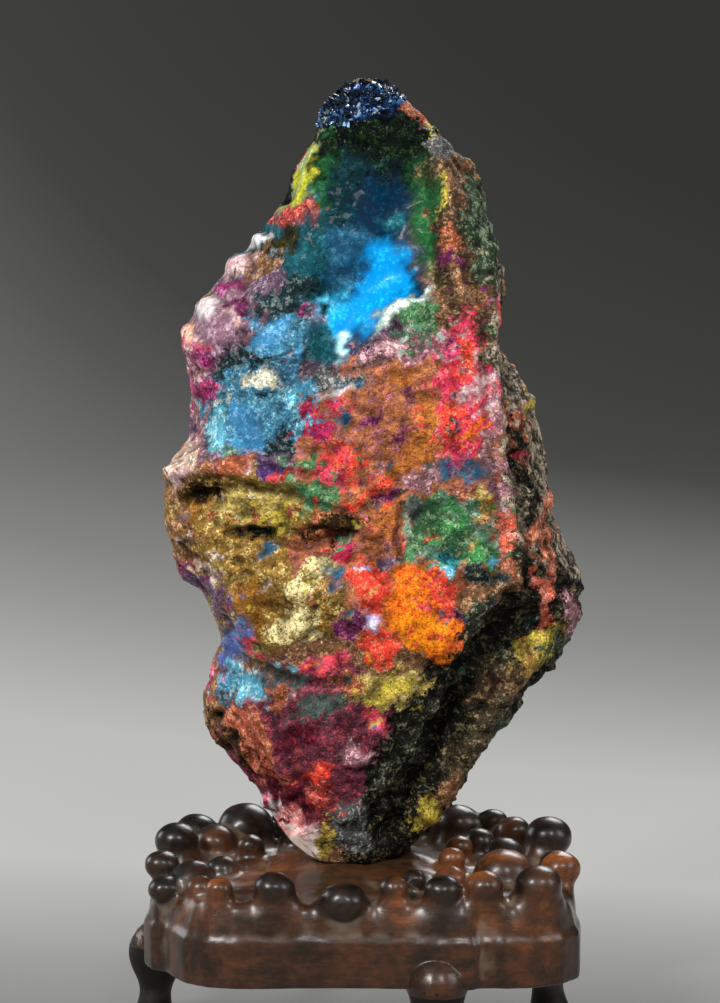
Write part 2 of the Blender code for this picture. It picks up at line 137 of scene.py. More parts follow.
# Carved knobs: x, y, height of the top, radius.
KNOBS = (
    (-27.2, -27.6, 36.4, 2.9), (-16.6, -28.0, 37.6, 4.2), (-3.2, -28.6, 35.6, 4.9), (6.6, -27.8, 36.8, 3.0),
    (10.6, -23.4, 37.0, 2.5), (16.0, -28.6, 37.0, 3.8), (24.0, -28.2, 37.8, 3.9), (34.6, -26.0, 38.4, 4.8),
    (-38.4, -17.4, 34.4, 3.4), (-39.4, -6.0, 37.0, 3.6), (-37.2, 7.6, 39.8, 4.6), (-32.8, -14.4, 36.8, 4.8),
    (-31.0, -21.8, 35.4, 3.2), (-23.6, 22.6, 40.6, 6.0), (-29.8, 15.6, 37.6, 4.6), (-38.0, 18.6, 36.8, 4.2),
    (-34.0, 26.6, 37.6, 4.8), (-26.6, 29.6, 36.4, 3.4), (39.6, -11.0, 37.8, 4.2), (39.2, -2.2, 36.2, 3.4),
    (38.4, 12.6, 39.8, 5.0), (31.6, 20.6, 38.2, 3.8), (38.0, 24.0, 36.8, 4.0), (27.6, 26.6, 38.6, 3.4),
    (20.4, 27.0, 39.4, 4.8), (31.0, 30.0, 36.2, 2.6), (18.4, -6.4, 37.6, 2.8), (20.2, 4.2, 37.8, 2.9),
    (28.6, -9.0, 37.8, 6.2), (29.2, 5.6, 37.0, 4.4), (17.8, -17.6, 36.4, 3.2), (24.4, 14.2, 37.2, 3.6),
    (-15.0, 28.6, 38.0, 4.4), (-6.0, 29.6, 36.4, 4.2), (2.6, 28.4, 38.6, 3.8), (11.4, 28.8, 37.0, 4.0),
    (-22.4, 10.0, 36.8, 3.0), (-13.6, 20.4, 36.6, 3.0), (7.4, 21.0, 36.8, 3.2), (-27.6, -4.0, 35.4, 3.4),
)

# Places on the stand, seen from above, where the wood is made warm orange-brown, partly its own colour and
# partly painted light where light shines into the wood: x, y, radius, strength.
WARM_AND_LIT_WOOD = (
    (24.0, -28.0, 4.4, 0.9), (40.0, -11.0, 5.0, 1.0), (35.5, -28.5, 3.0, 0.5), (18.8, -6.4, 5.0, 0.9),
    (20.2, 4.2, 4.5, 0.7), (17.6, -18.2, 4.0, 0.8), (28.4, -8.4, 6.0, 0.6), (-20, -7, 6.0, 0.7),
    (-13, -10, 5.0, 0.5), (4, -17, 4.0, 0.2), (-28, -27, 3.5, 0.8), (-33.5, -22.5, 3.5, 0.6),
    (9, -30, 3.0, 0.6), (31, -34, 3.0, 0.5), (-18, 2, 7.0, 0.7), (2, 18, 9.0, 0.6), (-28, 10, 6.0, 0.5),
    (28, 18, 5.0, 0.5), (-8, 33, 5.0, 0.5), (36, 28, 5.0, 0.6),
)
# How warm the stand and the feet are elsewhere, and how much less so the knobs' heads are.
STAND_WARMTH = 0.20
FOOT_WARMTH = -0.85
HEAD_DARKNESS = 0.45
# How a mineral's surface looks: grain, gloss, painted glow (emission that stands in for light within the
# stone), foliation, relief and softness of its border.
SURFACES = {
    "glass": (0.06, 1.0, 0.22, 0.0, 0.08, 12.0),
    "haze": (0.45, 0.7, 0.03, 0.0, 0.5, 7.0),
    "grain": (0.9, 0.4, 0.0, 0.0, 1.0, 5.0),
    "crust": (1.0, 0.6, 0.0, 0.25, 2.3, 6.0),
    "shale": (0.9, 0.25, 0.0, 1.0, 1.45, 6.0),
    "druse": (0.7, 0.9, 0.0, 0.0, 1.2, 5.0),
}
# Where some of these values stand in a row of mineral_values.
FOLIATION, RELIEF, BORDER = 10, 11, 12
# Each mineral: surface, ground colour, colour of its flecks, share of the flecks. The colours are as they
# look on screen.
MINERALS = {
    "azure": ("glass", (0.0, 0.57, 0.87), (0.12, 0.72, 0.92), 0.30),
    "azure_pale": ("glass", (0.12, 0.62, 0.80), (0.40, 0.80, 0.90), 0.35),
    "hot_cyan": ("glass", (0.70, 0.96, 0.95), (0.95, 1.0, 1.0), 0.45),
    "deep_blue": ("glass", (0.0, 0.13, 0.22), (0.0, 0.21, 0.32), 0.28),
    "slate_blue": ("haze", (0.10, 0.31, 0.43), (0.22, 0.43, 0.54), 0.33),
    "deep_teal": ("haze", (0.0, 0.14, 0.17), (0.04, 0.25, 0.28), 0.36),
    "teal": ("haze", (0.05, 0.27, 0.31), (0.13, 0.38, 0.42), 0.35),
    "teal_bright": ("grain", (0.20, 0.55, 0.55), (0.10, 0.32, 0.38), 0.40),
    "light_teal": ("haze", (0.10, 0.42, 0.48), (0.24, 0.56, 0.58), 0.40),
    "dark_teal": ("grain", (0.12, 0.20, 0.22), (0.42, 0.48, 0.48), 0.35),
    "grey_teal": ("grain", (0.30, 0.36, 0.34), (0.45, 0.26, 0.28), 0.30),
    "light_blue": ("grain", (0.26, 0.50, 0.62), (0.50, 0.72, 0.80), 0.40),
    "sky_haze": ("haze", (0.22, 0.50, 0.68), (0.42, 0.64, 0.78), 0.35),
    "light_cyan": ("haze", (0.34, 0.66, 0.78), (0.68, 0.90, 0.94), 0.36),
    "blue_violet": ("haze", (0.28, 0.34, 0.60), (0.40, 0.54, 0.76), 0.40),
    "druse_blue": ("druse", (0.02, 0.06, 0.14), (0.10, 0.24, 0.42), 0.30),
    "dark_green": ("grain", (0.03, 0.09, 0.04), (0.12, 0.24, 0.08), 0.35),
    "dark_olive": ("grain", (0.16, 0.16, 0.08), (0.30, 0.26, 0.10), 0.35),
    "green_glass": ("haze", (0.10, 0.32, 0.17), (0.17, 0.40, 0.21), 0.33),
    "green": ("grain", (0.29, 0.50, 0.33), (0.56, 0.67, 0.50), 0.34),
    "green_bright": ("grain", (0.27, 0.58, 0.32), (0.58, 0.74, 0.54), 0.30),
    "green_grey": ("grain", (0.38, 0.54, 0.44), (0.64, 0.68, 0.60), 0.36),
    "pale_green": ("haze", (0.56, 0.66, 0.46), (0.80, 0.86, 0.64), 0.40),
    "yellow": ("haze", (0.76, 0.74, 0.16), (0.50, 0.58, 0.22), 0.40),
    "olive": ("grain", (0.72, 0.62, 0.32), (0.86, 0.80, 0.54), 0.34),
    "olive_yellow": ("grain", (0.80, 0.72, 0.28), (0.60, 0.50, 0.26), 0.35),
    "gold": ("grain", (0.56, 0.43, 0.20), (0.80, 0.70, 0.44), 0.30),
    "amber": ("grain", (0.62, 0.42, 0.16), (0.44, 0.30, 0.14), 0.35),
    "pale_cream": ("grain", (0.94, 0.88, 0.64), (0.62, 0.52, 0.28), 0.38),
    "cream": ("grain", (0.88, 0.87, 0.78), (0.70, 0.74, 0.72), 0.38),
    # The milky minerals are glass, so they take the painted glow, which lightens the shaded underside of the
    # tip.
    "milky_rose": ("glass", (0.84, 0.50, 0.50), (0.96, 0.80, 0.78), 0.42),
    "milky_white": ("glass", (0.86, 0.80, 0.78), (0.98, 0.94, 0.88), 0.45),
    "white": ("haze", (0.86, 0.85, 0.84), (0.72, 0.68, 0.70), 0.35),
    "pale_grey": ("haze", (0.62, 0.72, 0.68), (0.86, 0.90, 0.86), 0.45),
    "grey_grain": ("grain", (0.32, 0.33, 0.32), (0.62, 0.62, 0.62), 0.35),
    "brown_orange": ("grain", (0.72, 0.44, 0.28), (0.64, 0.38, 0.42), 0.34),
    "ochre": ("grain", (0.76, 0.46, 0.20), (0.70, 0.38, 0.28), 0.35),
    "orange": ("grain", (0.97, 0.50, 0.12), (0.98, 0.32, 0.14), 0.32),
    "orange_bright": ("grain", (1.0, 0.58, 0.10), (1.0, 0.42, 0.14), 0.30),
    "scarlet": ("grain", (0.95, 0.28, 0.22), (0.98, 0.50, 0.36), 0.34),
    "scarlet_rose": ("grain", (0.92, 0.30, 0.36), (0.74, 0.24, 0.40), 0.36),
    "crimson": ("grain", (0.88, 0.22, 0.36), (0.97, 0.44, 0.44), 0.38),
    "crimson_deep": ("grain", (0.74, 0.16, 0.28), (0.52, 0.16, 0.36), 0.38),
    "coral": ("grain", (0.66, 0.22, 0.20), (0.86, 0.46, 0.40), 0.38),
    "rose": ("grain", (0.88, 0.32, 0.46), (0.94, 0.60, 0.68), 0.38),
    "rose_grey": ("grain", (0.60, 0.42, 0.44), (0.84, 0.66, 0.70), 0.38),
    "rose_orange": ("grain", (0.84, 0.40, 0.30), (0.92, 0.62, 0.56), 0.35),
    "magenta": ("grain", (0.60, 0.14, 0.40), (0.82, 0.40, 0.66), 0.40),
    "pink": ("haze", (0.50, 0.36, 0.42), (0.68, 0.56, 0.62), 0.42),
    "pale_pink": ("haze", (0.74, 0.58, 0.60), (0.90, 0.80, 0.80), 0.42),
    "salmon": ("haze", (0.94, 0.66, 0.54), (0.98, 0.86, 0.76), 0.40),
    "lilac": ("haze", (0.70, 0.66, 0.86), (0.90, 0.88, 0.98), 0.45),
    "plum": ("grain", (0.42, 0.16, 0.34), (0.66, 0.34, 0.44), 0.35),
    "maroon": ("grain", (0.40, 0.20, 0.26), (0.62, 0.26, 0.30), 0.36),
    "maroon_dark": ("grain", (0.34, 0.10, 0.16), (0.54, 0.16, 0.22), 0.35),
    "violet": ("grain", (0.28, 0.18, 0.38), (0.46, 0.34, 0.54), 0.35),
    "purple_grey": ("grain", (0.40, 0.30, 0.38), (0.62, 0.54, 0.60), 0.38),
    "red_brown": ("grain", (0.76, 0.38, 0.28), (0.88, 0.58, 0.46), 0.36),
    "rust": ("grain", (0.62, 0.33, 0.22), (0.82, 0.54, 0.40), 0.36),
    "brown": ("grain", (0.50, 0.35, 0.24), (0.72, 0.56, 0.42), 0.38),
    "tan": ("grain", (0.80, 0.66, 0.56), (0.94, 0.88, 0.84), 0.42),
    "umber": ("crust", (0.20, 0.14, 0.08), (0.46, 0.34, 0.18), 0.30),
    "rim": ("grain", (0.30, 0.22, 0.16), (0.54, 0.44, 0.32), 0.40),
    "shale": ("shale", (0.26, 0.24, 0.20), (0.66, 0.60, 0.52), 0.44),
    "shale_green": ("shale", (0.18, 0.24, 0.17), (0.44, 0.50, 0.40), 0.38),
    "shale_orange": ("shale", (0.70, 0.38, 0.28), (0.90, 0.60, 0.48), 0.42),
    "crust": ("crust", (0.17, 0.18, 0.14), (0.48, 0.48, 0.40), 0.36),
    "crust_brown": ("crust", (0.23, 0.20, 0.14), (0.50, 0.44, 0.32), 0.32),
    "black_green": ("crust", (0.02, 0.06, 0.03), (0.10, 0.18, 0.08), 0.30),
    "black": ("crust", (0.07, 0.075, 0.055), (0.34, 0.31, 0.22), 0.34),
}

SMOOTH_MINERALS = {name for name, values in MINERALS.items() if values[0] in ("glass", "haze")}

# Front patches, in pixels of the photograph: mineral, across, down, half length, half width, tilt that rises
# to the right.
FRONT_PATCHES = (
    ("dark_green", 365, 150, 80, 60, 0), ("teal", 300, 280, 95, 80, 60),
    ("purple_grey", 330, 400, 170, 90, 0), ("brown_orange", 400, 440, 110, 90, 0),
    ("gold", 250, 560, 110, 90, 0), ("brown_orange", 390, 560, 100, 80, 0),
    ("maroon", 320, 750, 110, 90, 0), ("rim", 455, 240, 110, 26, -79), ("shale", 560, 430, 330, 62, -82),
    # The black over the lower right facet, which turns down away from the light, is partly painted shade on
    # dark crust.
    ("black", 462, 730, 190, 66, 56),
    # The cap and the top of the pool; the black-green and dark green under the crystal band are painted
    # shadow of the cap over dark green stone
    ("black_green", 352, 145, 42, 22, 10), ("black_green", 402, 138, 30, 34, 0),
    ("druse_blue", 362, 102, 52, 22, 16), ("rust", 415, 112, 14, 9, -40),
    ("olive_yellow", 433, 127, 12, 7, -50), ("dark_green", 382, 160, 34, 20, 0),
    ("pale_green", 302, 154, 46, 9, 71), ("yellow", 301, 185, 20, 8, 74), ("coral", 298, 217, 22, 13, 10),
    ("green_glass", 330, 186, 30, 16, 75), ("deep_teal", 350, 195, 40, 28, 80),
    ("deep_blue", 386, 216, 44, 34, 85), ("green_glass", 428, 222, 56, 15, -84),
    ("light_teal", 392, 223, 11, 7, 0),
    # The blue pool
    ("slate_blue", 338, 262, 40, 30, 70), ("teal", 300, 268, 48, 24, 72),
    ("deep_blue", 398, 280, 40, 28, 75), ("deep_blue", 350, 335, 44, 16, 30),
    ("azure_pale", 332, 312, 20, 12, 80), ("azure", 366, 302, 56, 17, 52), ("azure", 338, 320, 20, 10, 70),
    ("azure", 386, 272, 27, 22, 60), ("hot_cyan", 344, 345, 15, 6, 62), ("deep_blue", 374, 349, 24, 7, 18),
    ("deep_teal", 318, 290, 18, 9, 60), ("purple_grey", 393, 328, 16, 16, 0),
    ("green_grey", 414, 338, 24, 11, 10), ("green", 420, 318, 20, 13, -20),
    ("pale_grey", 406, 303, 22, 6, 18), ("pale_grey", 384, 318, 12, 4, 65),
    # The right rim
    ("grey_grain", 440, 148, 15, 14, 0), ("brown", 452, 180, 13, 8, 80),
    ("olive_yellow", 441, 198, 14, 6, 80), ("rim", 452, 212, 22, 10, 84), ("rust", 456, 240, 15, 9, 80),
    ("brown", 466, 292, 16, 8, -75), ("plum", 452, 262, 14, 8, -70), ("shale_green", 486, 250, 84, 15, -76),
    ("shale", 500, 330, 60, 13, -80),
    # The crimson column
    ("rose", 444, 344, 18, 15, 40), ("crimson", 465, 392, 80, 22, 88), ("scarlet", 464, 356, 22, 12, 80),
    ("scarlet", 455, 422, 26, 10, 88), ("pale_pink", 474, 386, 12, 7, 60), ("orange", 474, 428, 12, 8, 70),
    ("rose_grey", 488, 430, 58, 7, -86), ("crimson", 464, 455, 20, 13, 80),
    ("slate_blue", 462, 474, 27, 10, 0),
    # The left bulge
    ("purple_grey", 240, 300, 60, 30, 45), ("dark_teal", 282, 302, 40, 17, 34),
    ("brown", 262, 262, 30, 11, 38), ("dark_olive", 282, 240, 14, 9, 30), ("white", 258, 240, 8, 7, 0),
    ("pale_pink", 236, 265, 14, 11, 20), ("magenta", 226, 291, 20, 9, 35), ("pink", 222, 322, 40, 24, 40),
    ("white", 210, 307, 12, 9, 60), ("salmon", 183, 328, 14, 8, 80), ("rose", 190, 345, 12, 9, 0),
    ("magenta", 195, 352, 12, 9, -30), ("plum", 240, 318, 16, 9, 60), ("pale_pink", 232, 328, 14, 6, -60),
    ("rose_grey", 196, 400, 52, 9, -86),
    # The pale blue shoulder
    ("light_blue", 258, 402, 58, 44, -20), ("light_blue", 280, 343, 34, 26, 30),
    ("sky_haze", 270, 332, 18, 13, 20), ("teal", 322, 345, 16, 22, 0), ("teal", 216, 424, 20, 9, 76),
    ("dark_teal", 235, 362, 26, 10, 20), ("green_grey", 226, 446, 18, 8, 0),
    ("magenta", 205, 386, 13, 12, 0), ("cream", 262, 379, 13, 10, 0), ("cream", 222, 407, 7, 6, 80),
    ("sky_haze", 248, 430, 24, 18, -70), ("light_cyan", 292, 398, 13, 10, 60),
    ("dark_teal", 282, 441, 19, 14, 0), ("grey_grain", 340, 376, 32, 9, 5), ("white", 343, 390, 12, 6, 8),
    ("light_blue", 312, 392, 16, 10, 0), ("light_cyan", 216, 432, 8, 14, 0),
    # The brown and orange middle
    ("crimson_deep", 318, 427, 25, 11, -52), ("crimson", 345, 403, 14, 8, 10),
    ("slate_blue", 345, 421, 11, 7, 20), ("rose_grey", 392, 352, 40, 12, 8),
    ("brown_orange", 398, 412, 46, 44, 0), ("ochre", 430, 426, 36, 13, 82), ("ochre", 400, 383, 14, 9, 0),
    ("plum", 411, 396, 9, 6, 60), ("plum", 375, 418, 10, 6, 20), ("plum", 398, 438, 10, 5, 10),
    ("ochre", 410, 458, 34, 14, 20), ("green", 310, 462, 14, 8, 0), ("scarlet", 345, 464, 26, 13, 38),
    ("scarlet_rose", 331, 476, 14, 14, 0), ("scarlet", 380, 480, 14, 8, 20),
    ("scarlet", 359, 497, 11, 8, 30), ("plum", 388, 495, 15, 8, 0), ("rose_grey", 420, 480, 20, 12, 0),
    ("brown_orange", 384, 525, 22, 24, 0), ("ochre", 385, 520, 10, 14, 0),
    # The green hollow
    ("green_grey", 448, 532, 46, 36, -20), ("green", 446, 530, 34, 20, -30),
    ("grey_teal", 418, 514, 14, 8, 40), ("green_bright", 458, 518, 14, 10, 0),
    ("green_bright", 478, 560, 20, 11, 12), ("teal_bright", 450, 563, 13, 13, 0),
    ("light_cyan", 445, 574, 8, 5, 50), ("rust", 433, 537, 9, 4, 0), ("rust", 466, 496, 16, 6, 0),
    ("olive", 488, 502, 10, 13, 0), ("dark_teal", 486, 578, 22, 8, 8),
    ("rose_orange", 506, 536, 32, 12, -84), ("rose_grey", 500, 482, 30, 8, -84),
    ("green", 420, 548, 12, 12, 0),
    # The gold ledge and the pits under it; the umber and black in the pits and the cleft are partly painted
    # shade in them
    ("tan", 180, 457, 22, 15, 48), ("rust", 228, 467, 20, 12, 0), ("pale_pink", 190, 470, 9, 4, 20),
    ("violet", 266, 474, 18, 9, 10), ("coral", 292, 474, 14, 8, 0), ("umber", 200, 493, 20, 9, -10),
    ("olive", 254, 508, 40, 18, 4), ("olive_yellow", 275, 521, 17, 10, 10),
    ("green", 312, 497, 26, 13, -14), ("umber", 335, 528, 34, 16, 14), ("black", 253, 532, 21, 5, -3),
    ("brown", 184, 536, 36, 15, -84), ("amber", 190, 512, 16, 8, -60), ("gold", 245, 556, 36, 12, 0),
    ("slate_blue", 268, 547, 12, 6, 20), ("pale_cream", 311, 580, 28, 15, 40),
    ("pale_cream", 297, 624, 28, 15, 8), ("amber", 247, 606, 32, 17, 86), ("gold", 330, 610, 14, 26, 0),
    ("slate_blue", 338, 578, 10, 8, 0), ("purple_grey", 203, 590, 36, 14, -46),
    ("tan", 212, 570, 14, 7, -50), ("plum", 190, 572, 16, 9, -50),
    # The orange heart
    ("crimson_deep", 341, 553, 14, 11, 30), ("purple_grey", 388, 563, 22, 8, 24),
    ("scarlet", 369, 588, 28, 17, -62), ("brown", 482, 601, 24, 18, 20), ("orange", 426, 612, 52, 31, -66),
    ("scarlet", 444, 598, 24, 12, -58), ("orange_bright", 422, 632, 26, 19, -70),
    ("scarlet", 381, 646, 22, 16, 20), ("plum", 350, 628, 16, 13, 40), ("lilac", 375, 622, 10, 9, 0),
    ("violet", 462, 617, 11, 8, -50), ("scarlet_rose", 322, 667, 30, 10, 4), ("olive", 385, 690, 42, 19, 8),
    ("olive_yellow", 394, 690, 20, 10, 20), ("rust", 345, 690, 18, 10, 0),
    # The blue hollow and the red-brown facet
    ("blue_violet", 232, 646, 26, 12, 78), ("scarlet_rose", 258, 651, 20, 5, -36),
    ("light_blue", 226, 688, 24, 12, 80), ("light_cyan", 247, 683, 16, 14, 0),
    ("rose", 206, 676, 14, 5, 84), ("grey_teal", 284, 681, 20, 14, 0), ("rust", 276, 692, 14, 8, 80),
    ("brown", 218, 716, 16, 11, -60), ("red_brown", 251, 742, 50, 20, -52), ("umber", 236, 756, 36, 6, -52),
    ("rust", 262, 728, 26, 9, -58),
    # The maroon foot
    ("grey_teal", 314, 711, 28, 14, 0), ("maroon", 322, 752, 46, 32, 0),
    ("scarlet_rose", 372, 725, 15, 10, 70), ("rose_grey", 357, 756, 13, 10, 10),
    ("maroon_dark", 300, 735, 22, 10, 0), ("scarlet", 320, 776, 16, 9, 20),
    ("maroon_dark", 290, 800, 30, 22, -60), ("coral", 323, 796, 14, 12, 0), ("white", 266, 803, 10, 5, -70),
    ("coral", 283, 818, 15, 11, 0), ("milky_rose", 292, 830, 22, 14, -50),
    ("milky_white", 310, 838, 15, 13, -20), ("olive_yellow", 328, 834, 18, 8, 84),
    # The crust, the channel and the lit rib; the black along the channel is partly painted shade in it
    ("crust", 402, 752, 66, 20, 58), ("crust", 478, 626, 40, 16, 60), ("grey_grain", 353, 824, 30, 20, 80),
    ("black", 398, 806, 46, 28, 60), ("crust_brown", 478, 736, 62, 18, 57),
    ("crust_brown", 504, 672, 36, 14, 32), ("rim", 492, 686, 20, 9, 20),
    ("olive_yellow", 536, 650, 30, 14, 52), ("gold", 524, 668, 20, 10, 44),
    ("shale_green", 502, 718, 20, 10, 50), ("olive_yellow", 431, 814, 20, 12, 42),
    ("brown", 447, 792, 18, 10, 60),
    # The upright side
    ("shale_orange", 520, 440, 40, 8, -80), ("olive_yellow", 527, 405, 10, 6, -70),
    ("shale_orange", 548, 500, 14, 6, 88), ("shale_orange", 545, 548, 34, 9, -82),
    ("rose_orange", 543, 602, 28, 8, -84), ("rose_grey", 570, 617, 26, 8, -80),
    ("black", 524, 470, 60, 6, -82), ("black", 530, 580, 40, 6, -84), ("shale_green", 560, 650, 20, 12, 40),
)
# Colours of the cap crystals, from the commonest near black to a rare pale one; the two palest are painted
# sparkle.
CRYSTAL_COLOURS = (
    (0.03, 0.06, 0.12), (0.08, 0.18, 0.38), (0.10, 0.30, 0.38), (0.30, 0.48, 0.72), (0.72, 0.86, 0.96),
)
# Back patches, in pixels of a like frame seen from behind.
BACK_PATCHES = (
    ("shale", 360, 400, 400, 160, 80), ("crust_brown", 380, 560, 150, 110, 0),
    ("shale_green", 330, 240, 110, 60, 80), ("black", 350, 130, 60, 40, 0),
    ("druse_blue", 358, 98, 56, 22, 0), ("dark_olive", 340, 170, 40, 26, 20),
    ("teal", 380, 230, 60, 30, -70), ("deep_teal", 392, 262, 40, 22, -60),
    ("slate_blue", 386, 300, 34, 20, -50), ("light_blue", 410, 350, 40, 26, 20),
    ("brown", 340, 330, 70, 34, 60), ("rust", 300, 380, 70, 26, 80), ("ochre", 350, 400, 44, 26, 20),
    ("crimson_deep", 420, 420, 44, 20, -60), ("scarlet", 428, 440, 24, 12, -50),
    ("plum", 390, 470, 40, 20, 10), ("green", 320, 470, 46, 26, -20), ("green_grey", 280, 500, 40, 26, 60),
    ("gold", 440, 520, 66, 40, 30), ("pale_cream", 456, 540, 30, 16, 30), ("olive", 400, 560, 50, 24, 0),
    ("umber", 350, 540, 60, 24, 20), ("red_brown", 300, 580, 60, 30, -40), ("orange", 340, 620, 30, 18, 10),
    ("scarlet", 366, 634, 20, 12, 30), ("purple_grey", 420, 630, 60, 26, -30),
    ("blue_violet", 450, 660, 30, 18, 50), ("light_cyan", 440, 684, 18, 12, 0),
    ("crust", 300, 680, 80, 40, -50), ("maroon", 390, 720, 56, 30, 10), ("grey_teal", 340, 740, 50, 24, 0),
    ("olive_yellow", 300, 760, 40, 18, -50), ("brown", 380, 790, 50, 24, 10),
    ("grey_grain", 350, 830, 50, 22, 0), ("white", 408, 806, 20, 10, 60),
    ("rose_grey", 470, 420, 60, 14, 84),
)
# How many clumps lie over the back and flanks, and from how far off, in pixels, they take their minerals.
CLUMPS = 460
CLUMP_REACH = 42.0
# The least and the greatest root size of a clump, which this power turns into millimetres.
CLUMP_SIZES = (1.2, 2.6)
CLUMP_POWER = 1.9
# The height at which the crystal cap starts, which no clump covers, in millimetres.
CAP_BOTTOM = 182.5
# The cap's slanted ellipse, in pixels: middle, half its axes, the lean of each axis and its lowest row.
CAP_MIDDLE = (362, 100)
CAP_REACH = (50, 21)
CAP_LEAN = (0.30, 0.28)
CAP_LAST_ROW = 135
# How far a grain strays from its own patch and how far apart stray grains lie, in pixels.
STRAY_REACH = 26.0
STRAY_SPACING = 6.2
# The least and the greatest radius of a stray grain, its tilt, and how far past its patch it may lie.
STRAY_RADII = (2.2, 5.4)
STRAY_TILT = 30
STRAY_OVERRUN = 1.15
# Patches whose narrower half is at least this are grounds, which neither give nor take stray grains.
GROUND_WIDTH = 30
# How many pixels the coarse, middle and fine noise frays the borders by, and the sizes of the noise in
# millimetres, each twice over, for across and down.
FRAY = (12, 9, 5)
FRAY_SIZES = (8, 8, 2.8, 2.8, 1.3, 1.3)
# How far a face is turned to the back before it takes the back's patches, or the clumps.
BACK_FROM = 0.25
CLUMPS_FROM = -0.10
# The heights between which the relief fades in above the socket.
SEAT_FADE = (37.5, 42.0)
# Sharp pits that are sunk into the skin: middle, radius, depth.
PITS = {
    "long hole": ((-21.0, -21, 103.6), (2.0, 6.0, 1.1), 2.4),
    "hole end": ((-17.6, -21, 103.4), (1.6, 6.0, 1.3), 2.0),
    "ledge pit": ((-30.6, -19, 110.0), (2.6, 6.0, 1.5), 1.8),
    "ledge notch": ((-35.0, -16, 108.0), (1.6, 6.0, 2.0), 1.4),
    "gold pit": ((-24.0, -19, 97.4), (1.5, 6.0, 1.0), 1.2),
    "cleft pit": ((-4.6, -23, 102.6), (3.4, 6.0, 1.6), 1.6),
    "cream pit": ((-8.6, -22, 88.8), (1.4, 6.0, 1.2), 1.2),
    "lump pit": ((-17.0, -21, 88.6), (1.8, 6.0, 1.0), 1.2),
    "shoulder pit": ((-19.0, -18, 129.6), (0.9, 6.0, 0.9), 0.9),
    "heart pit": ((-1.8, -23, 84.6), (1.2, 6.0, 1.4), 0.9),
    "rib pit": ((20.0, -21, 98.6), (1.6, 6.0, 1.0), 1.0),
    "back pit": ((8.0, 26, 100.0), (4.0, 8.0, 2.4), 2.0),
    "back hole": ((-14.0, 22, 120.0), (2.6, 8.0, 2.0), 1.8),
}
# Lumps and hollows of the front, in pixels of the photograph, with their height in millimetres: across, down,
# radius, height.
LUMPS = (
    (261, 241, 7, 1.3), (238, 264, 13, 1.2), (228, 289, 11, 0.8), (208, 309, 12, 0.9), (184, 331, 9, 0.8),
    (193, 346, 9, 0.9), (203, 384, 11, 1.1), (296, 216, 15, 0.8), (222, 330, 14, 0.8), (248, 310, 12, -0.8),
    (330, 300, 16, -0.8), (300, 262, 14, 0.5), (345, 262, 7, 0.4), (350, 285, 6, 0.4), (322, 240, 8, 0.5),
    (283, 341, 25, 1.5), (263, 380, 13, 1.1), (220, 408, 7, 0.8), (241, 396, 4, -0.9), (343, 390, 10, 0.8),
    (290, 400, 7, 0.6), (250, 432, 18, -0.7), (282, 440, 14, -0.7), (320, 432, 18, 1.0), (300, 405, 8, 0.5),
    (342, 404, 10, 0.7), (350, 424, 8, -0.9), (398, 330, 11, -0.9), (411, 320, 15, 0.8),
    (470, 385, 11, 0.9), (462, 350, 16, 0.6), (460, 425, 18, 0.6), (430, 425, 22, 0.7), (395, 400, 16, 0.5),
    (376, 418, 7, -0.5), (411, 396, 6, -0.5), (345, 464, 16, 1.0), (330, 476, 11, 0.7), (383, 480, 9, 0.8),
    (360, 497, 9, 0.8), (385, 526, 23, 1.3), (310, 495, 14, 0.7), (345, 520, 12, -1.2),
    (430, 520, 18, -1.0), (455, 545, 16, -0.9), (404, 535, 7, 0.8), (474, 562, 16, 1.1), (448, 575, 8, 0.4),
    (490, 580, 10, -0.7), (340, 552, 11, 0.9), (376, 566, 11, -1.1), (366, 588, 17, 0.9),
    (420, 600, 26, 1.2), (436, 636, 20, 0.9), (376, 622, 9, 0.7), (462, 617, 8, -0.9), (508, 545, 14, 0.9),
    (506, 512, 9, 0.6), (200, 494, 13, -1.0), (180, 470, 10, 0.7), (268, 520, 13, 1.0), (230, 512, 11, 0.8),
    (300, 520, 9, 0.8), (310, 562, 10, 0.9), (298, 590, 13, 1.1), (322, 584, 8, 0.8), (285, 612, 10, -0.9),
    (296, 628, 12, 1.0), (318, 640, 10, 0.7), (245, 600, 18, 0.9), (235, 565, 9, 0.8), (262, 548, 8, -0.8),
    (205, 585, 20, -1.1), (325, 666, 13, 1.0), (303, 664, 8, 0.7), (396, 690, 15, 1.0), (362, 686, 11, 0.8),
    (385, 650, 12, 0.5), (247, 684, 13, -0.6), (214, 690, 7, 0.6), (272, 690, 10, 0.6), (250, 735, 16, 0.8),
    (262, 765, 9, 0.5), (300, 735, 14, -0.6), (345, 725, 11, -0.5), (357, 757, 12, 1.1),
    (376, 727, 10, 0.8), (322, 777, 12, 0.9), (318, 800, 10, 0.7), (268, 803, 7, 0.8), (290, 800, 12, 0.6),
    (303, 838, 15, 0.8), (350, 812, 16, 0.7), (395, 745, 16, 0.8), (430, 700, 14, 0.9), (485, 690, 10, 0.9),
    (505, 672, 9, 0.9), (470, 735, 13, 0.8), (448, 772, 10, 0.8), (536, 640, 11, 0.8), (432, 815, 9, 0.7),
    (492, 250, 8, 0.9), (486, 285, 8, 0.7), (528, 402, 8, 0.9), (548, 500, 9, 0.9), (566, 610, 12, 0.8),
    (545, 560, 9, 0.7), (520, 440, 9, 0.7),
)
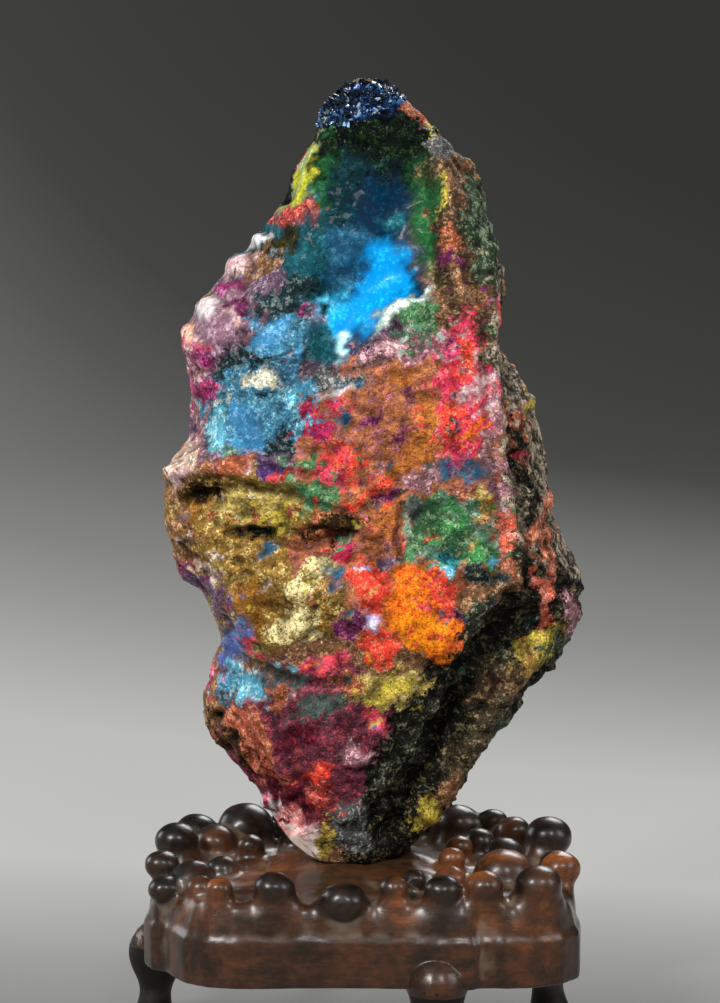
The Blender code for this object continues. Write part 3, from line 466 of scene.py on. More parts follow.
# Creases, with a negative height, and crests along lines of pixels: height, width, then the line.
CREASES = (
    (-2.6, 13, (512, 596), (478, 650), (440, 712), (408, 780), (385, 845)),
    (1.4, 9, (545, 640), (505, 690), (470, 745), (440, 800)),
    (1.3, 8, (455, 680), (415, 730), (375, 790), (345, 815)),
    (1.0, 6, (382, 336), (386, 318), (402, 303), (424, 304)),
    (-1.2, 9, (311, 126), (296, 160), (286, 198)),
    (0.9, 7, (430, 135), (446, 175), (452, 240), (460, 300)),
    (-0.8, 6, (428, 170), (436, 230), (440, 290)),
    (1.2, 7, (470, 160), (484, 240), (492, 320), (494, 420), (506, 500), (522, 560)),
    (-1.2, 7, (500, 330), (512, 420), (520, 500), (532, 590)),
    (-1.0, 5, (492, 200), (500, 270), (506, 340)),
    (1.0, 7, (252, 700), (268, 735), (292, 790)),
    (-0.9, 6, (236, 672), (230, 700), (214, 722)),
    (1.5, 8, (168, 476), (210, 466), (262, 474), (298, 482)),
    (-0.8, 6, (180, 500), (240, 486), (300, 500), (345, 512)),
    (-1.2, 6, (228, 533), (262, 534), (300, 546), (350, 536)),
    (1.0, 6, (172, 520), (186, 560), (212, 590), (226, 625)),
    (-0.7, 5, (330, 372), (362, 368), (392, 358)),
    (-0.9, 5, (402, 505), (396, 540), (402, 562), (384, 580)),
    (-0.8, 5, (224, 650), (262, 668), (300, 682), (345, 684)),
)
# Where the photograph was taken from: the width of its pixel at the stone's middle, the distance from there,
# the slope of the view and the height it aims at.
PIXEL_AT_STAND_OFF = 0.2
STAND_OFF = 750.0
SLOPE = math.radians(7.0)
AIM_HEIGHT = 106.9
PHOTO_MIDDLE = (360.0, 501.5)
PHOTO_HEIGHT = 1003.0
# The camera's focal length in pixels.
FOCAL_PIXELS = 3750.0
# Further than any distance that is measured.
FAR = 1e9


def linear(colour):
    """A screen colour as linear light."""
    values = np.asarray(colour, float)
    return np.where(values <= 0.04045, values / 12.92, ((values + 0.055) / 1.055) ** 2.4)


def smoothstep(low, high, value):
    t = np.clip((value - low) / (high - low), 0.0, 1.0)
    return t * t * (3 - 2 * t)


def noise_field(points, size, seed, octaves=3):
    """Fractal noise at each point, with lumps of about this size in millimetres."""
    shift = Vector((seed * 17.3, seed * 5.1, seed * 11.7))
    return np.array([noise.fractal(Vector(p) / size + shift, 1.0, 2.0, octaves) for p in points])


class Wire:
    """A socket of a node tree. Arithmetic on it adds Math nodes."""

    def __init__(self, tree, socket):
        self.tree = tree
        self.socket = socket

    def math(self, operation, *others):
        made = self.tree.nodes.new("ShaderNodeMath")
        made.operation = operation
        for slot, value in zip(made.inputs, (self, *others)):
            join(self.tree, slot, value)
        return Wire(self.tree, made.outputs[0])

    def flipped(self, operation, other):
        made = self.tree.nodes.new("ShaderNodeMath")
        made.operation = operation
        join(self.tree, made.inputs[0], other)
        join(self.tree, made.inputs[1], self)
        return Wire(self.tree, made.outputs[0])

    def __add__(self, other):
        return self.math("ADD", other)

    def __sub__(self, other):
        return self.math("SUBTRACT", other)

    def __mul__(self, other):
        return self.math("MULTIPLY", other)

    def __truediv__(self, other):
        return self.math("DIVIDE", other)

    def __rsub__(self, other):
        return self.flipped("SUBTRACT", other)

    __radd__ = __add__
    __rmul__ = __mul__

    def step(self, low, high):
        """0 below low, 1 above high and smooth between them."""
        made = self.tree.nodes.new("ShaderNodeMapRange")
        made.interpolation_type = "SMOOTHSTEP"
        join(self.tree, made.inputs["Value"], self)
        join(self.tree, made.inputs["From Min"], low)
        join(self.tree, made.inputs["From Max"], high)
        return Wire(self.tree, made.outputs["Result"])


def join(tree, slot, value):
    if isinstance(value, Wire):
        tree.links.new(value.socket, slot)
    elif isinstance(value, tuple) and len(value) == 3 and slot.type == "RGBA":
        slot.default_value = (*value, 1.0)
    else:
        slot.default_value = value


class Finish:
    """A material under construction."""

    def __init__(self, name, colour):
        self.material = bpy.data.materials.new(name)
        self.material.use_nodes = True
        self.material.diffuse_color = (*colour, 1.0)
        self.tree = self.material.node_tree
        self.shader = self.tree.nodes["Principled BSDF"]

    def node(self, kind, settings=None, inputs=None, output=0):
        made = self.tree.nodes.new(kind)
        for key, value in (settings or {}).items():
            setattr(made, key, value)
        for key, value in (inputs or {}).items():
            join(self.tree, made.inputs[key], value)
        return Wire(self.tree, made.outputs[output])

    def carried(self, name, output):
        """A value that the mesh carries."""
        return self.node("ShaderNodeAttribute", {"attribute_name": name}, output=output)

    def ramp(self, value, stops):
        made = self.tree.nodes.new("ShaderNodeValToRGB")
        elements = made.color_ramp.elements
        while len(elements) < len(stops):
            elements.new(0.5)
        for element, (place, colour) in zip(elements, stops):
            element.position = place
            element.color = (*colour, 1.0)
        join(self.tree, made.inputs["Fac"], value)
        return Wire(self.tree, made.outputs["Color"])

    def mix(self, share, first, second, blend="MIX"):
        """Two colours mixed by a share."""
        made = self.tree.nodes.new("ShaderNodeMix")
        made.data_type = "RGBA"
        made.blend_type = blend
        join(self.tree, made.inputs[0], share)
        join(self.tree, made.inputs[6], first)
        join(self.tree, made.inputs[7], second)
        return Wire(self.tree, made.outputs[2])

    def places(self, scale=(1.0, 1.0, 1.0)):
        """Object coordinates in millimetres, stretched by a scale."""
        coordinates = self.node("ShaderNodeTexCoord", output="Object")
        sizes = tuple(value / MM for value in scale)
        return self.node("ShaderNodeMapping", inputs={"Vector": coordinates, "Scale": sizes})

    def noise(self, where, scale, detail=3.0, roughness=0.55, distortion=0.0, output="Fac"):
        values = {"Vector": where, "Scale": scale, "Detail": detail, "Roughness": roughness}
        return self.node("ShaderNodeTexNoise", inputs={**values, "Distortion": distortion}, output=output)

    def cells(self, where, scale, feature="F1", output="Distance"):
        values = {"Vector": where, "Scale": scale}
        return self.node("ShaderNodeTexVoronoi", {"feature": feature}, values, output)

    def scaled(self, value, amount):
        return self.node("ShaderNodeVectorMath", {"operation": "SCALE"}, {0: value, "Scale": amount})

    def warped(self, where, scale, strength):
        """The places pushed about by noise."""
        push = self.noise(where, scale, 2.0, output="Color")
        centred = self.node("ShaderNodeVectorMath", {"operation": "SUBTRACT"}, {0: push, 1: (0.5, 0.5, 0.5)})
        shift = self.scaled(centred, strength)
        return self.node("ShaderNodeVectorMath", {"operation": "ADD"}, {0: where, 1: shift})

    def channels(self, colour):
        made = self.tree.nodes.new("ShaderNodeSeparateColor")
        join(self.tree, made.inputs[0], colour)
        return [Wire(self.tree, socket) for socket in made.outputs]

    def bump(self, height, distance, normal=None):
        values = {"Height": height, "Distance": distance, "Strength": 1.0}
        if normal is not None:
            values["Normal"] = normal
        return self.node("ShaderNodeBump", inputs=values, output="Normal")

    def set(self, **values):
        """Sets the shader's sockets, given by name with _ for a space."""
        for name, value in values.items():
            join(self.tree, self.shader.inputs[name.replace("_", " ")], value)
        return self.material


def agate_finish():
    """Crystalline stone: grains and flecks over the minerals that the mesh carries."""
    finish = Finish("agate_stone", (0.3, 0.2, 0.17))
    ground, share = finish.carried("ground", "Color"), finish.carried("ground", "Alpha")
    fleck, mingled = finish.carried("fleck", "Color"), finish.carried("fleck", "Alpha")
    second = finish.carried("second", "Color")
    grain, gloss, glow = finish.channels(finish.carried("surface", "Color"))
    foliated = finish.carried("surface", "Alpha")
    hollow, crest = finish.carried("hollow", "Fac"), finish.carried("crest", "Fac")
    where = finish.warped(finish.places(), 1.3, 0.45)
    cell_distance = finish.cells(where, 1.25)
    cell_tone, cell_pick, cell_hue = finish.channels(finish.cells(where, 1.25, output="Color"))
    small_distance = finish.cells(where, 2.7)
    small_tone, small_pick, small_hue = finish.channels(finish.cells(where, 2.7, output="Color"))
    fine = finish.noise(where, 3.4, 3.0, 0.65)
    middle = finish.noise(where, 1.1, 3.0, 0.6)
    broad = finish.noise(where, 0.32, 3.0, 0.6)
    streak = finish.noise(finish.warped(finish.places((0.75, 0.75, 0.17)), 0.8, 1.1), 1.0, 6.0, 0.72)
    picked = cell_pick * 0.4 + small_pick * 0.3 + fine * 0.3 + (broad - 0.5) * 0.8
    picked = picked * (1.0 - foliated) + (streak * 1.1 + picked * 0.45 - 0.22) * foliated
    blur = (1.0 - grain) * 0.13
    flecked = picked.step(0.84 - share * 0.75 - blur, 0.92 - share * 0.75 + blur)
    colour = finish.mix(flecked, ground, fleck)
    strayed = cell_hue * 0.5 + small_hue * 0.3 + middle * 0.2
    colour = finish.mix((mingled - strayed * 0.9).step(-0.06, 0.06), colour, second)
    patchy = middle.step(0.42, 0.62)
    gap = cell_distance.step(0.42, 0.90) * patchy
    small_gap = small_distance.step(0.45, 0.85)
    tone = 1.0 + grain * ((cell_tone - 0.5) * 0.60 + (small_tone - 0.5) * 0.55 + (fine - 0.5) * 0.9)
    shade = tone * (1.0 - grain * (gap * 0.40 + small_gap * 0.14)) * (1.0 + (broad - 0.5) * 0.5)
    # Painted shade and light: grainy minerals are darkened in hollows, and all are lightened on crests.
    shade = shade * (1.0 - hollow * 0.55 * grain) * (1.12 + crest * 0.55)
    speck = (small_hue * 0.45 + fine * 0.8).step(0.70, 0.80) * grain
    shade = (shade * (1.0 - speck * 0.42)).math("MAXIMUM", 0.03)
    colour = finish.scaled(colour, shade)
    # Painted glints: small spots of the grainiest minerals are mixed towards white, more of them on crests.
    glint = (small_pick * (1.0 - small_distance)).step(0.84, 0.92) * grain * grain * (0.22 + crest * 0.45)
    colour = finish.mix(glint, colour, (0.85, 0.86, 0.84))
    height = (1.0 - gap) * 0.30 + (1.0 - small_gap) * 0.20 + fine * 0.35 + middle * 0.3
    height = height + streak * foliated * 0.8
    relief = finish.bump(height * grain + (fine + broad) * 0.05, 0.50 * MM)
    # Painted glow: the minerals give out their own colour as emission, by their glow value, standing in for
    # light within the stone.
    painted_glow = finish.scaled(colour, glow)
    return finish.set(
        Base_Color=colour,
        Roughness=0.66 - gloss * 0.30 - glint * 0.2,
        Coat_Weight=gloss * 0.07,
        Coat_Roughness=0.10,
        Emission_Color=painted_glow,
        Emission_Strength=1.0,
        Specular_IOR_Level=0.08,
        Normal=relief,
    )


def crystal_finish():
    """Blue-black crystals of the cap, some with a painted pale or cyan sparkle in their colour."""
    finish = Finish("druse_crystal", (0.03, 0.07, 0.16))
    tint = finish.carried("ground", "Color")
    return finish.set(Base_Color=tint, Roughness=0.16, Metallic=0.35, Coat_Weight=0.6, Coat_Roughness=0.06)


def rosewood_finish():
    """Waxed rosewood with grain along the stand: near black, warm in places, pale in hollows with wax left
    there and painted sheen.
    """
    finish = Finish("waxed_rosewood", (0.085, 0.03, 0.016))
    hollow, warm = finish.carried("hollow", "Fac"), finish.carried("warm", "Fac")
    along = finish.warped(finish.places((0.05, 0.5, 0.34)), 0.5, 0.9)
    bands = finish.noise(along, 1.0, 5.0, 0.6)
    pores = finish.noise(finish.places((0.16, 2.4, 1.8)), 1.0, 3.0, 0.6)
    blotch = finish.noise(finish.places(), 0.10, 3.0, 0.6)
    mottle = finish.noise(finish.places(), 0.55, 4.0, 0.6)
    fibre = finish.noise(finish.places((0.5, 2.6, 1.2)), 1.0, 4.0, 0.7)
    tone = bands * 0.34 + blotch * 0.42 + mottle * 0.18 + fibre * 0.24 + warm * 0.30 - 0.20
    colour = finish.ramp(
        tone,
        (
            (0.26, linear((0.065, 0.055, 0.042))),
            (0.42, linear((0.19, 0.125, 0.078))),
            (0.56, linear((0.33, 0.195, 0.11))),
            (0.72, linear((0.54, 0.30, 0.14))),
            (0.88, linear((0.68, 0.42, 0.22))),
        ),
    )
    streak = pores.step(0.55, 0.70)
    colour = finish.mix(streak * 0.32, colour, tuple(linear((0.07, 0.04, 0.03))))
    # Pale in the hollows: part pale wax left there, part painted sheen.
    bloom_and_sheen = hollow.step(0.04, 0.42) * blotch.step(0.34, 0.54)
    colour = finish.mix(bloom_and_sheen * 0.62, colour, tuple(linear((0.50, 0.44, 0.38))))
    relief = finish.bump(mottle * 0.7 - streak * 0.12 + bands * 0.3, 0.10 * MM)
    waxed = warm.step(-0.70, -0.35)
    return finish.set(
        Base_Color=colour,
        Roughness=0.58 + (mottle - 0.5) * 0.25 - waxed * 0.22,
        Coat_Weight=waxed * 0.47 + 0.08,
        Coat_Roughness=0.25,
        Coat_IOR=1.45,
        Specular_IOR_Level=0.3,
        Normal=relief,
    )


def backdrop_finish():
    """Backdrop with a painted fall-off of light: pale on the floor, grey up the wall and darker to the right.
    """
    finish = Finish("backdrop_painted_falloff", (0.5, 0.5, 0.5))
    coordinates = finish.node("ShaderNodeTexCoord", output="Object")
    parts = finish.tree.nodes.new("ShaderNodeSeparateXYZ")
    join(finish.tree, parts.inputs[0], coordinates)
    across, back, up = (Wire(finish.tree, socket) for socket in parts.outputs)
    # Painted fall-off of light: pale near the floor, grey up the wall and darker to the right, given out as
    # emission as well as laid in the base colour.
    lean = across.math("MAXIMUM", -0.35).math("MINIMUM", 0.35) * 1.7 + 1.0
    run = (back + up * 2.5) * lean / 2.5
    stops = (
        (0.00, 0.50), (0.02, 0.565), (0.055, 0.70), (0.115, 0.67), (0.15, 0.61), (0.19, 0.54), (0.235, 0.48),
        (0.31, 0.42), (0.40, 0.33), (0.48, 0.26), (0.62, 0.235), (0.85, 0.21), (1.0, 0.205),
    )
    colour = finish.ramp(run, [(place, linear((grey, grey, grey * 0.985))) for place, grey in stops])
    painted_glow = finish.scaled(colour, 0.80)
    painted_falloff = finish.scaled(colour, 0.40)
    return finish.set(
        Base_Color=painted_falloff, Roughness=0.9, Specular_IOR_Level=0.1, Emission_Color=painted_glow, Emission_Strength=1.0
    )


def clear_selection():
    for obj in bpy.context.selected_objects:
        obj.select_set(False)


def activate(obj):
    clear_selection()
    obj.select_set(True)
    bpy.context.view_layer.objects.active = obj


def add_object(name, data):
    made = bpy.data.objects.new(name, data)
    bpy.context.scene.collection.objects.link(made)
    return made


def edit_whole(obj, *steps):
    """Runs each step in edit mode, with the whole mesh selected before it."""
    activate(obj)
    bpy.ops.object.mode_set(mode="EDIT")
    for step in steps:
        bpy.ops.mesh.select_all(action="SELECT")
        step()
    bpy.ops.object.mode_set(mode="OBJECT")


def extrude(shift):
    bpy.ops.mesh.extrude_region_move(TRANSFORM_OT_translate={"value": shift})


def face_outwards():
    bpy.ops.mesh.normals_make_consistent(inside=False)


def apply(obj, kind, **settings):
    """Adds a modifier and applies it."""
    activate(obj)
    made = obj.modifiers.new(kind.lower(), kind)
    for key, value in settings.items():
        setattr(made, key, value)
    bpy.ops.object.modifier_apply(modifier=made.name)


def read_points(obj):
    """The object's points in design millimetres."""
    flat = np.empty(len(obj.data.vertices) * 3, np.float32)
    obj.data.vertices.foreach_get("co", flat)
    return flat.reshape(-1, 3).astype(float) / MM - OFFSET


def write_points(obj, points):
    """Writes design millimetres back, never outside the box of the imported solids."""
    low, high = (np.array(corner) / MM for corner in cad_box)
    inside = np.clip(points + OFFSET, low, high)
    obj.data.vertices.foreach_set("co", (inside * MM).astype(np.float32).ravel())
    obj.data.update()


def read_normals(obj):
    flat = np.empty(len(obj.data.vertices) * 3, np.float32)
    obj.data.vertices.foreach_get("normal", flat)
    return flat.reshape(-1, 3).astype(float)


def settle(obj):
    """Puts the place of a finished piece in its mesh, shades it smooth and lets it ride."""
    activate(obj)
    bpy.ops.object.transform_apply(location=True, rotation=True, scale=True)
    bpy.ops.object.shade_smooth()
    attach(obj, BODY)


def store(obj, name, values):
    """Keeps one number or colour per point on the mesh."""
    kind = "FLOAT" if values.ndim == 1 else "FLOAT_COLOR"
    layer = obj.data.attributes.new(name, kind, "POINT")
    layer.data.foreach_set("value" if values.ndim == 1 else "color", values.astype(np.float32).ravel())


def on_photo(points, behind=False):
    """The pixels that points fall on in the photograph, or in a like frame seen from behind: across, down."""
    x, y = (-points[:, 0], -points[:, 1]) if behind else (points[:, 0], points[:, 1])
    rise = points[:, 2] - AIM_HEIGHT
    depth = STAND_OFF + y * math.cos(SLOPE) - rise * math.sin(SLOPE)
    scale = STAND_OFF / PIXEL_AT_STAND_OFF / depth
    up = rise * math.cos(SLOPE) + y * math.sin(SLOPE)
    return PHOTO_MIDDLE[0] + scale * x, PHOTO_MIDDLE[1] - scale * up


def mineral_values(name):
    """All the numbers of one mineral in a row: ground, share, fleck, surface."""
    surface, ground, fleck, share = MINERALS[name]
    return np.array((*linear(ground), share, *linear(fleck), *SURFACES[surface]))


def strayed_grains(patches, seed):
    """Small grains scattered over the patches, each of the mineral of some other patch near by."""
    draw = np.random.default_rng(seed)
    named = [patch for patch in patches if min(patch[3], patch[4]) < GROUND_WIDTH]
    middles = np.array([(u, v) for _, u, v, *_ in named], float)
    grounds = np.array([MINERALS[patch[0]][1] for patch in named])
    grains = []
    for mineral, u, v, half_length, half_width, tilt in named:
        if MINERALS[mineral][0] == "glass":
            continue
        unlike = np.linalg.norm(grounds - MINERALS[mineral][1], axis=1)
        liveliness = max(MINERALS[mineral][1]) - min(MINERALS[mineral][1])
        tolerance = 0.12 + 0.6 * liveliness if MINERALS[mineral][0] == "grain" else 0.14
        nearness = np.exp(-np.hypot(*(middles - (u, v)).T) / STRAY_REACH - unlike / tolerance)
        c, s = math.cos(math.radians(tilt)), math.sin(math.radians(tilt))
        for _ in range(round(half_length * half_width / STRAY_SPACING**2)):
            other = named[int(draw.choice(len(named), p=nearness / nearness.sum()))][0]
            along = draw.uniform(-STRAY_OVERRUN, STRAY_OVERRUN) * half_length
            aside = draw.uniform(-STRAY_OVERRUN, STRAY_OVERRUN) * half_width
            radius = draw.uniform(*STRAY_RADII)
            if MINERALS[other][0] not in ("glass", "druse") and other != mineral:
                place = (u + along * c + aside * s, v - along * s + aside * c)
                grains.append((other, *place, radius, radius * 0.7, STRAY_TILT))
    return grains


def lay_patches(points, patches, seed, behind, edges):
    """Lays the patches over each other in order, and keeps for each point the mineral, its neighbour and
    how far they mingle. edges holds noise that frays the borders."""
    across, down = on_photo(points, behind)
    across = across + edges[0] * FRAY[0] + edges[2] * FRAY[1] + edges[4] * FRAY[2]
    down = down + edges[1] * FRAY[0] + edges[3] * FRAY[1] + edges[5] * FRAY[2]
    laid = np.tile(mineral_values("brown"), (len(points), 1))
    second = laid.copy()
    mingled = np.zeros(len(points))
    for mineral, u, v, half_length, half_width, tilt in (*patches, *strayed_grains(patches, seed)):
        c, s = math.cos(math.radians(tilt)), math.sin(math.radians(tilt))
        du, dv = across - u, down - v
        reach = np.hypot((du * c - dv * s) / half_length, (du * s + dv * c) / half_width)
        values = mineral_values(mineral)
        narrow = min(half_length, half_width)
        border = min(values[BORDER], narrow * 0.55)
        cover = smoothstep(-border, border, (1 - reach) * narrow)
        if mineral in SMOOTH_MINERALS:
            near = cover > 0
            share = cover[near, None]
            laid[near] += (values - laid[near]) * share
            second[near] += (values - second[near]) * share
            mingled[near] *= 1 - cover[near]
            continue
        over = cover >= 0.5
        second[over] = laid[over]
        laid[over] = values
        mingled[over] = 1 - cover[over]
        beside = (cover < 0.5) & (cover > mingled)
        second[beside] = values
        mingled[beside] = cover[beside]
    return laid, second, mingled


def lay_clumps(points, hidden, layers, seed):
    """Lays clumps over the back and the flanks, each of a mineral that the front has at about that place, as
    though the stone's zones ran through it. They are placed in space, so that they don't smear sideways."""
    laid, second, mingled = layers
    draw = np.random.default_rng(seed)
    named = [patch for patch in FRONT_PATCHES if MINERALS[patch[0]][0] in ("grain", "crust", "shale")]
    middles = np.array([(u, v) for _, u, v, *_ in named], float)
    across, down = on_photo(points)
    fray = noise_field(points, 3.0, 31, 3)
    for index in draw.choice(np.flatnonzero(hidden), CLUMPS, replace=False):
        reach = np.hypot(middles[:, 0] - across[index], middles[:, 1] - down[index])
        nearness = np.exp(-reach / CLUMP_REACH)
        mineral = named[int(draw.choice(len(named), p=nearness / nearness.sum()))][0]
        radius = draw.uniform(*CLUMP_SIZES) ** CLUMP_POWER
        stretch = np.array((1.0, 1.0, draw.uniform(0.55, 1.3)))
        inward = 1 - np.linalg.norm((points - points[index]) * stretch, axis=1) / radius + fray * 0.6
        over = hidden & (inward >= 0) & (points[:, 2] < CAP_BOTTOM)
        edge = np.clip(0.5 + inward * radius / 2.4, 0, 1)
        second[over] = laid[over]
        laid[over] = mineral_values(mineral)
        mingled[over] = 1 - edge[over]


def line_distance(x, y, start, end):
    """How far each point lies from the straight line between two corners."""
    run_x, run_y = end[0] - start[0], end[1] - start[1]
    along = np.clip(((x - start[0]) * run_x + (y - start[1]) * run_y) / (run_x**2 + run_y**2), 0, 1)
    return np.hypot(x - start[0] - along * run_x, y - start[1] - along * run_y)


def lump_heights(points, normals):
    """Height of the lumps, hollows, creases and crests of the front."""
    across, down = on_photo(points)
    front = 1 - smoothstep(0.2, 0.6, normals[:, 1])
    height = np.zeros(len(points))
    for u, v, radius, rise in LUMPS:
        reach = np.hypot(across - u, down - v) / radius
        height += rise * (1 - smoothstep(0.35, 1.35, reach))
    for rise, width, *line in CREASES:
        nearest = np.full(len(points), FAR)
        for start, end in zip(line, line[1:]):
            nearest = np.minimum(nearest, line_distance(across, down, start, end))
        height += rise * (1 - smoothstep(0.2, 1.3, nearest / width))
    return height * front


def pit_depths(points):
    depth = np.zeros(len(points))
    for middle, radii, deep in PITS.values():
        reach = np.linalg.norm((points - np.array(middle)) / np.array(radii), axis=1)
        depth += deep * (1 - smoothstep(0.5, 1.25, reach))
    return depth


def grain_relief(points, normals, laid):
    """How far the fine surface of each mineral stands out, in millimetres."""
    relief, foliated = laid[:, RELIEF], laid[:, FOLIATION]
    crag = np.abs(noise_field(points * np.array((0.8, 1.0, 1.3)), 6.0, 3, 4))
    lump = noise_field(points, 2.4, 5, 2)
    small = noise_field(points, 1.2, 6, 2)
    flat = points * np.array((1.0, 1.0, 0.22))
    rib = np.abs(noise_field(flat, 2.3, 8, 3))
    side = smoothstep(0.2, 0.7, normals[:, 0] + 0.5 * normals[:, 1])
    upright = np.maximum(side, foliated * 0.6)
    shape = 1.0 * (0.30 - crag) + 0.28 * lump + 0.13 * small + upright * 0.5 * (0.3 - rib)
    return relief * 0.6 * np.tanh(shape / 0.6)


def mark_curvature(obj, rounds, reach):
    """Keeps how hollow and how proud each point lies, from how far smoothing moves it along its normal."""
    mesh = obj.data
    edges = np.empty(len(mesh.edges) * 2, np.int32)
    mesh.edges.foreach_get("vertices", edges)
    start, end = edges.reshape(-1, 2).T
    points, normals = read_points(obj), read_normals(obj)
    total = len(points)
    count = np.maximum(np.bincount(start, minlength=total) + np.bincount(end, minlength=total), 1)
    smooth = points.copy()
    for _ in range(rounds):
        for axis in range(3):
            values = smooth[:, axis]
            gathered = np.bincount(start, values[end], total) + np.bincount(end, values[start], total)
            smooth[:, axis] = gathered / count
    lift = np.einsum("ij,ij->i", smooth - points, normals)
    store(obj, "hollow", np.clip(lift / reach, 0, 1))
    store(obj, "crest", np.clip(-lift / reach, 0, 1))


class StoneSizes(bpy.types.PropertyGroup):
    """How finely the stone is cut."""

    skin: bpy.props.FloatProperty(
        name="Skin", description="Size of the skin's faces", default=0.64 * MM, unit="LENGTH", precision=5
    )
    softening: bpy.props.IntProperty(
        name="Softening", description="Rounds of smoothing over the solid's facets", default=14, min=0
    )
    relief: bpy.props.FloatProperty(
        name="Relief", description="Strength of the fine relief", default=1.0, subtype="FACTOR"
    )
    crystals: bpy.props.IntProperty(name="Crystals", description="Crystals on the cap", default=760, min=0)
    crystal_size: bpy.props.FloatProperty(
        name="Crystal size", description="Width of a cap crystal", default=1.0 * MM, unit="LENGTH",
        precision=5,
    )


class StandSizes(bpy.types.PropertyGroup):
    """How the stand is carved."""

    skin: bpy.props.FloatProperty(
        name="Skin", description="Size of the skin's faces", default=0.52 * MM, unit="LENGTH", precision=5
    )
    softening: bpy.props.IntProperty(
        name="Softening", description="Rounds of smoothing after fusing", default=13, min=0
    )
    gap: bpy.props.FloatProperty(
        name="Glue line", description="Gap kept round the stone and the feet", default=0.3 * MM,
        unit="LENGTH", precision=5,
    )


class StageLook(bpy.types.PropertyGroup):
    """Light and backdrop."""

    key: bpy.props.FloatProperty(
        name="Key", description="Power of the main light", default=9.0, unit="POWER"
    )
    fill: bpy.props.FloatProperty(
        name="Fill", description="Power of the fill light", default=3.0, unit="POWER"
    )
    room: bpy.props.FloatProperty(name="Room", description="Strength of the room's light", default=0.20)


class AGATE_OT_stone(bpy.types.Operator):
    """Makes the stone's skin from its solid, with its minerals and fine relief"""

    bl_idname = "agate.stone"
    bl_label = "Agate"

    def execute(self, context):
        sizes = context.scene.stone_sizes
        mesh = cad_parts["agate"].data.copy()
        mesh.materials.clear()
        stone = add_object("agate_skin", mesh)
        edit_whole(stone, lambda: bpy.ops.mesh.remove_doubles(threshold=0.01 * MM))
        apply(stone, "REMESH", mode="VOXEL", voxel_size=sizes.skin)
        apply(stone, "SMOOTH", factor=0.5, iterations=sizes.softening)
        points, normals = read_points(stone), read_normals(stone)
        edges = [noise_field(points, size, seed, 2) for seed, size in enumerate(FRAY_SIZES, 1)]
        fronts = lay_patches(points, FRONT_PATCHES, seed=11, behind=False, edges=edges)
        backs = lay_patches(points, BACK_PATCHES, seed=12, behind=True, edges=edges)
        facing_back = normals[:, 1] + edges[0] * 0.2
        behind = (facing_back > BACK_FROM)[:, None]
        laid, second = (np.where(behind, back, front) for front, back in zip(fronts[:2], backs[:2]))
        mingled = np.where(facing_back > BACK_FROM, backs[2], fronts[2])
        lay_clumps(points, facing_back > CLUMPS_FROM, (laid, second, mingled), seed=13)
        rise = grain_relief(points, normals, laid) + lump_heights(points, normals)
        rise = rise * sizes.relief - pit_depths(points)
        seated = smoothstep(*SEAT_FADE, points[:, 2])
        write_points(stone, points + normals * (rise * seated)[:, None])
        apply(stone, "SMOOTH", factor=0.5, iterations=1)
        mark_curvature(stone, 7, 0.22)
        store(stone, "ground", laid[:, 0:4])
        store(stone, "fleck", np.column_stack((laid[:, 4:7], mingled)))
        store(stone, "second", second[:, 0:4])
        store(stone, "surface", laid[:, 7:11])
        stone.data.materials.append(agate_finish())
        settle(stone)
        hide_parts("agate")
        return {"FINISHED"}


class AGATE_OT_cap(bpy.types.Operator):
    """Grows the blue-black crystals on the cap of the stone"""

    bl_idname = "agate.cap"
    bl_label = "Cap Crystals"

    def execute(self, context):
        sizes = context.scene.stone_sizes
        stone = bpy.data.objects["agate_skin"]
        draw = np.random.default_rng(7)
        across, down = on_photo(read_points(stone))
        normals = read_normals(stone)
        aside, below = across - CAP_MIDDLE[0], down - CAP_MIDDLE[1]
        tilted = (below + CAP_LEAN[1] * aside) / CAP_REACH[1]
        slanted = np.hypot((aside + CAP_LEAN[0] * below) / CAP_REACH[0], tilted)
        on_cap = np.flatnonzero((slanted < 1.0) & (down < CAP_LAST_ROW))
        if len(on_cap) == 0:
            raise RuntimeError("the cap has no points to grow crystals on")
        picks = draw.choice(on_cap, min(sizes.crystals, len(on_cap)), replace=False)
        bm = bmesh.new()
        tint = bm.verts.layers.float_color.new("ground")
        tints = [linear(colour) for colour in CRYSTAL_COLOURS]
        for index in picks:
            place = stone.data.vertices[int(index)].co.copy()
            size = sizes.crystal_size * draw.uniform(0.4, 1.25) ** 1.3
            axis = (Vector(normals[index]) + Vector(draw.normal(0, 0.45, 3))).normalized()
            turn = axis.to_track_quat("Z", "Y").to_matrix().to_4x4()
            spin = Matrix.Rotation(draw.uniform(0, math.pi), 4, "Z")
            shape = Matrix.Diagonal((size * 0.5, size * 0.5, size * draw.uniform(0.5, 1.1), 1.0))
            made = bmesh.ops.create_cone(
                bm, cap_ends=True, segments=6, radius1=1.0, radius2=0.35, depth=1.6,
                matrix=Matrix.Translation(place) @ turn @ spin @ shape,
            )["verts"]
            # Painted sparkle: the two palest colours are picked more often towards the cap's lower edge.
            pale = 0.02 + 0.16 * float(smoothstep(-0.1, 0.5, tilted[index]))
            pick = tints[int(draw.choice(5, p=(0.72 - 3 * pale, 0.16, 0.12, 2 * pale, pale)))]
            for vert in made:
                vert[tint] = (*pick, 1.0)
        mesh = bpy.data.meshes.new("cap_crystals")
        bm.to_mesh(mesh)
        bm.free()
        crystals = add_object("cap_crystals", mesh)
        write_points(crystals, read_points(crystals))
        crystals.data.materials.append(crystal_finish())
        activate(crystals)
        bpy.ops.object.shade_flat()
        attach(crystals, BODY)
        return {"FINISHED"}


def add_slab(outline, bottom, top):
    """A flat outline raised from bottom to top."""
    corners = [(np.array((x, y, bottom)) + OFFSET) * MM for x, y in outline]
    mesh = bpy.data.meshes.new("slab")
    mesh.from_pydata([tuple(c) for c in corners], [], [list(range(len(corners)))])
    slab = add_object("slab", mesh)
    edit_whole(slab, lambda: extrude((0, 0, (top - bottom) * MM)), face_outwards)
    return slab


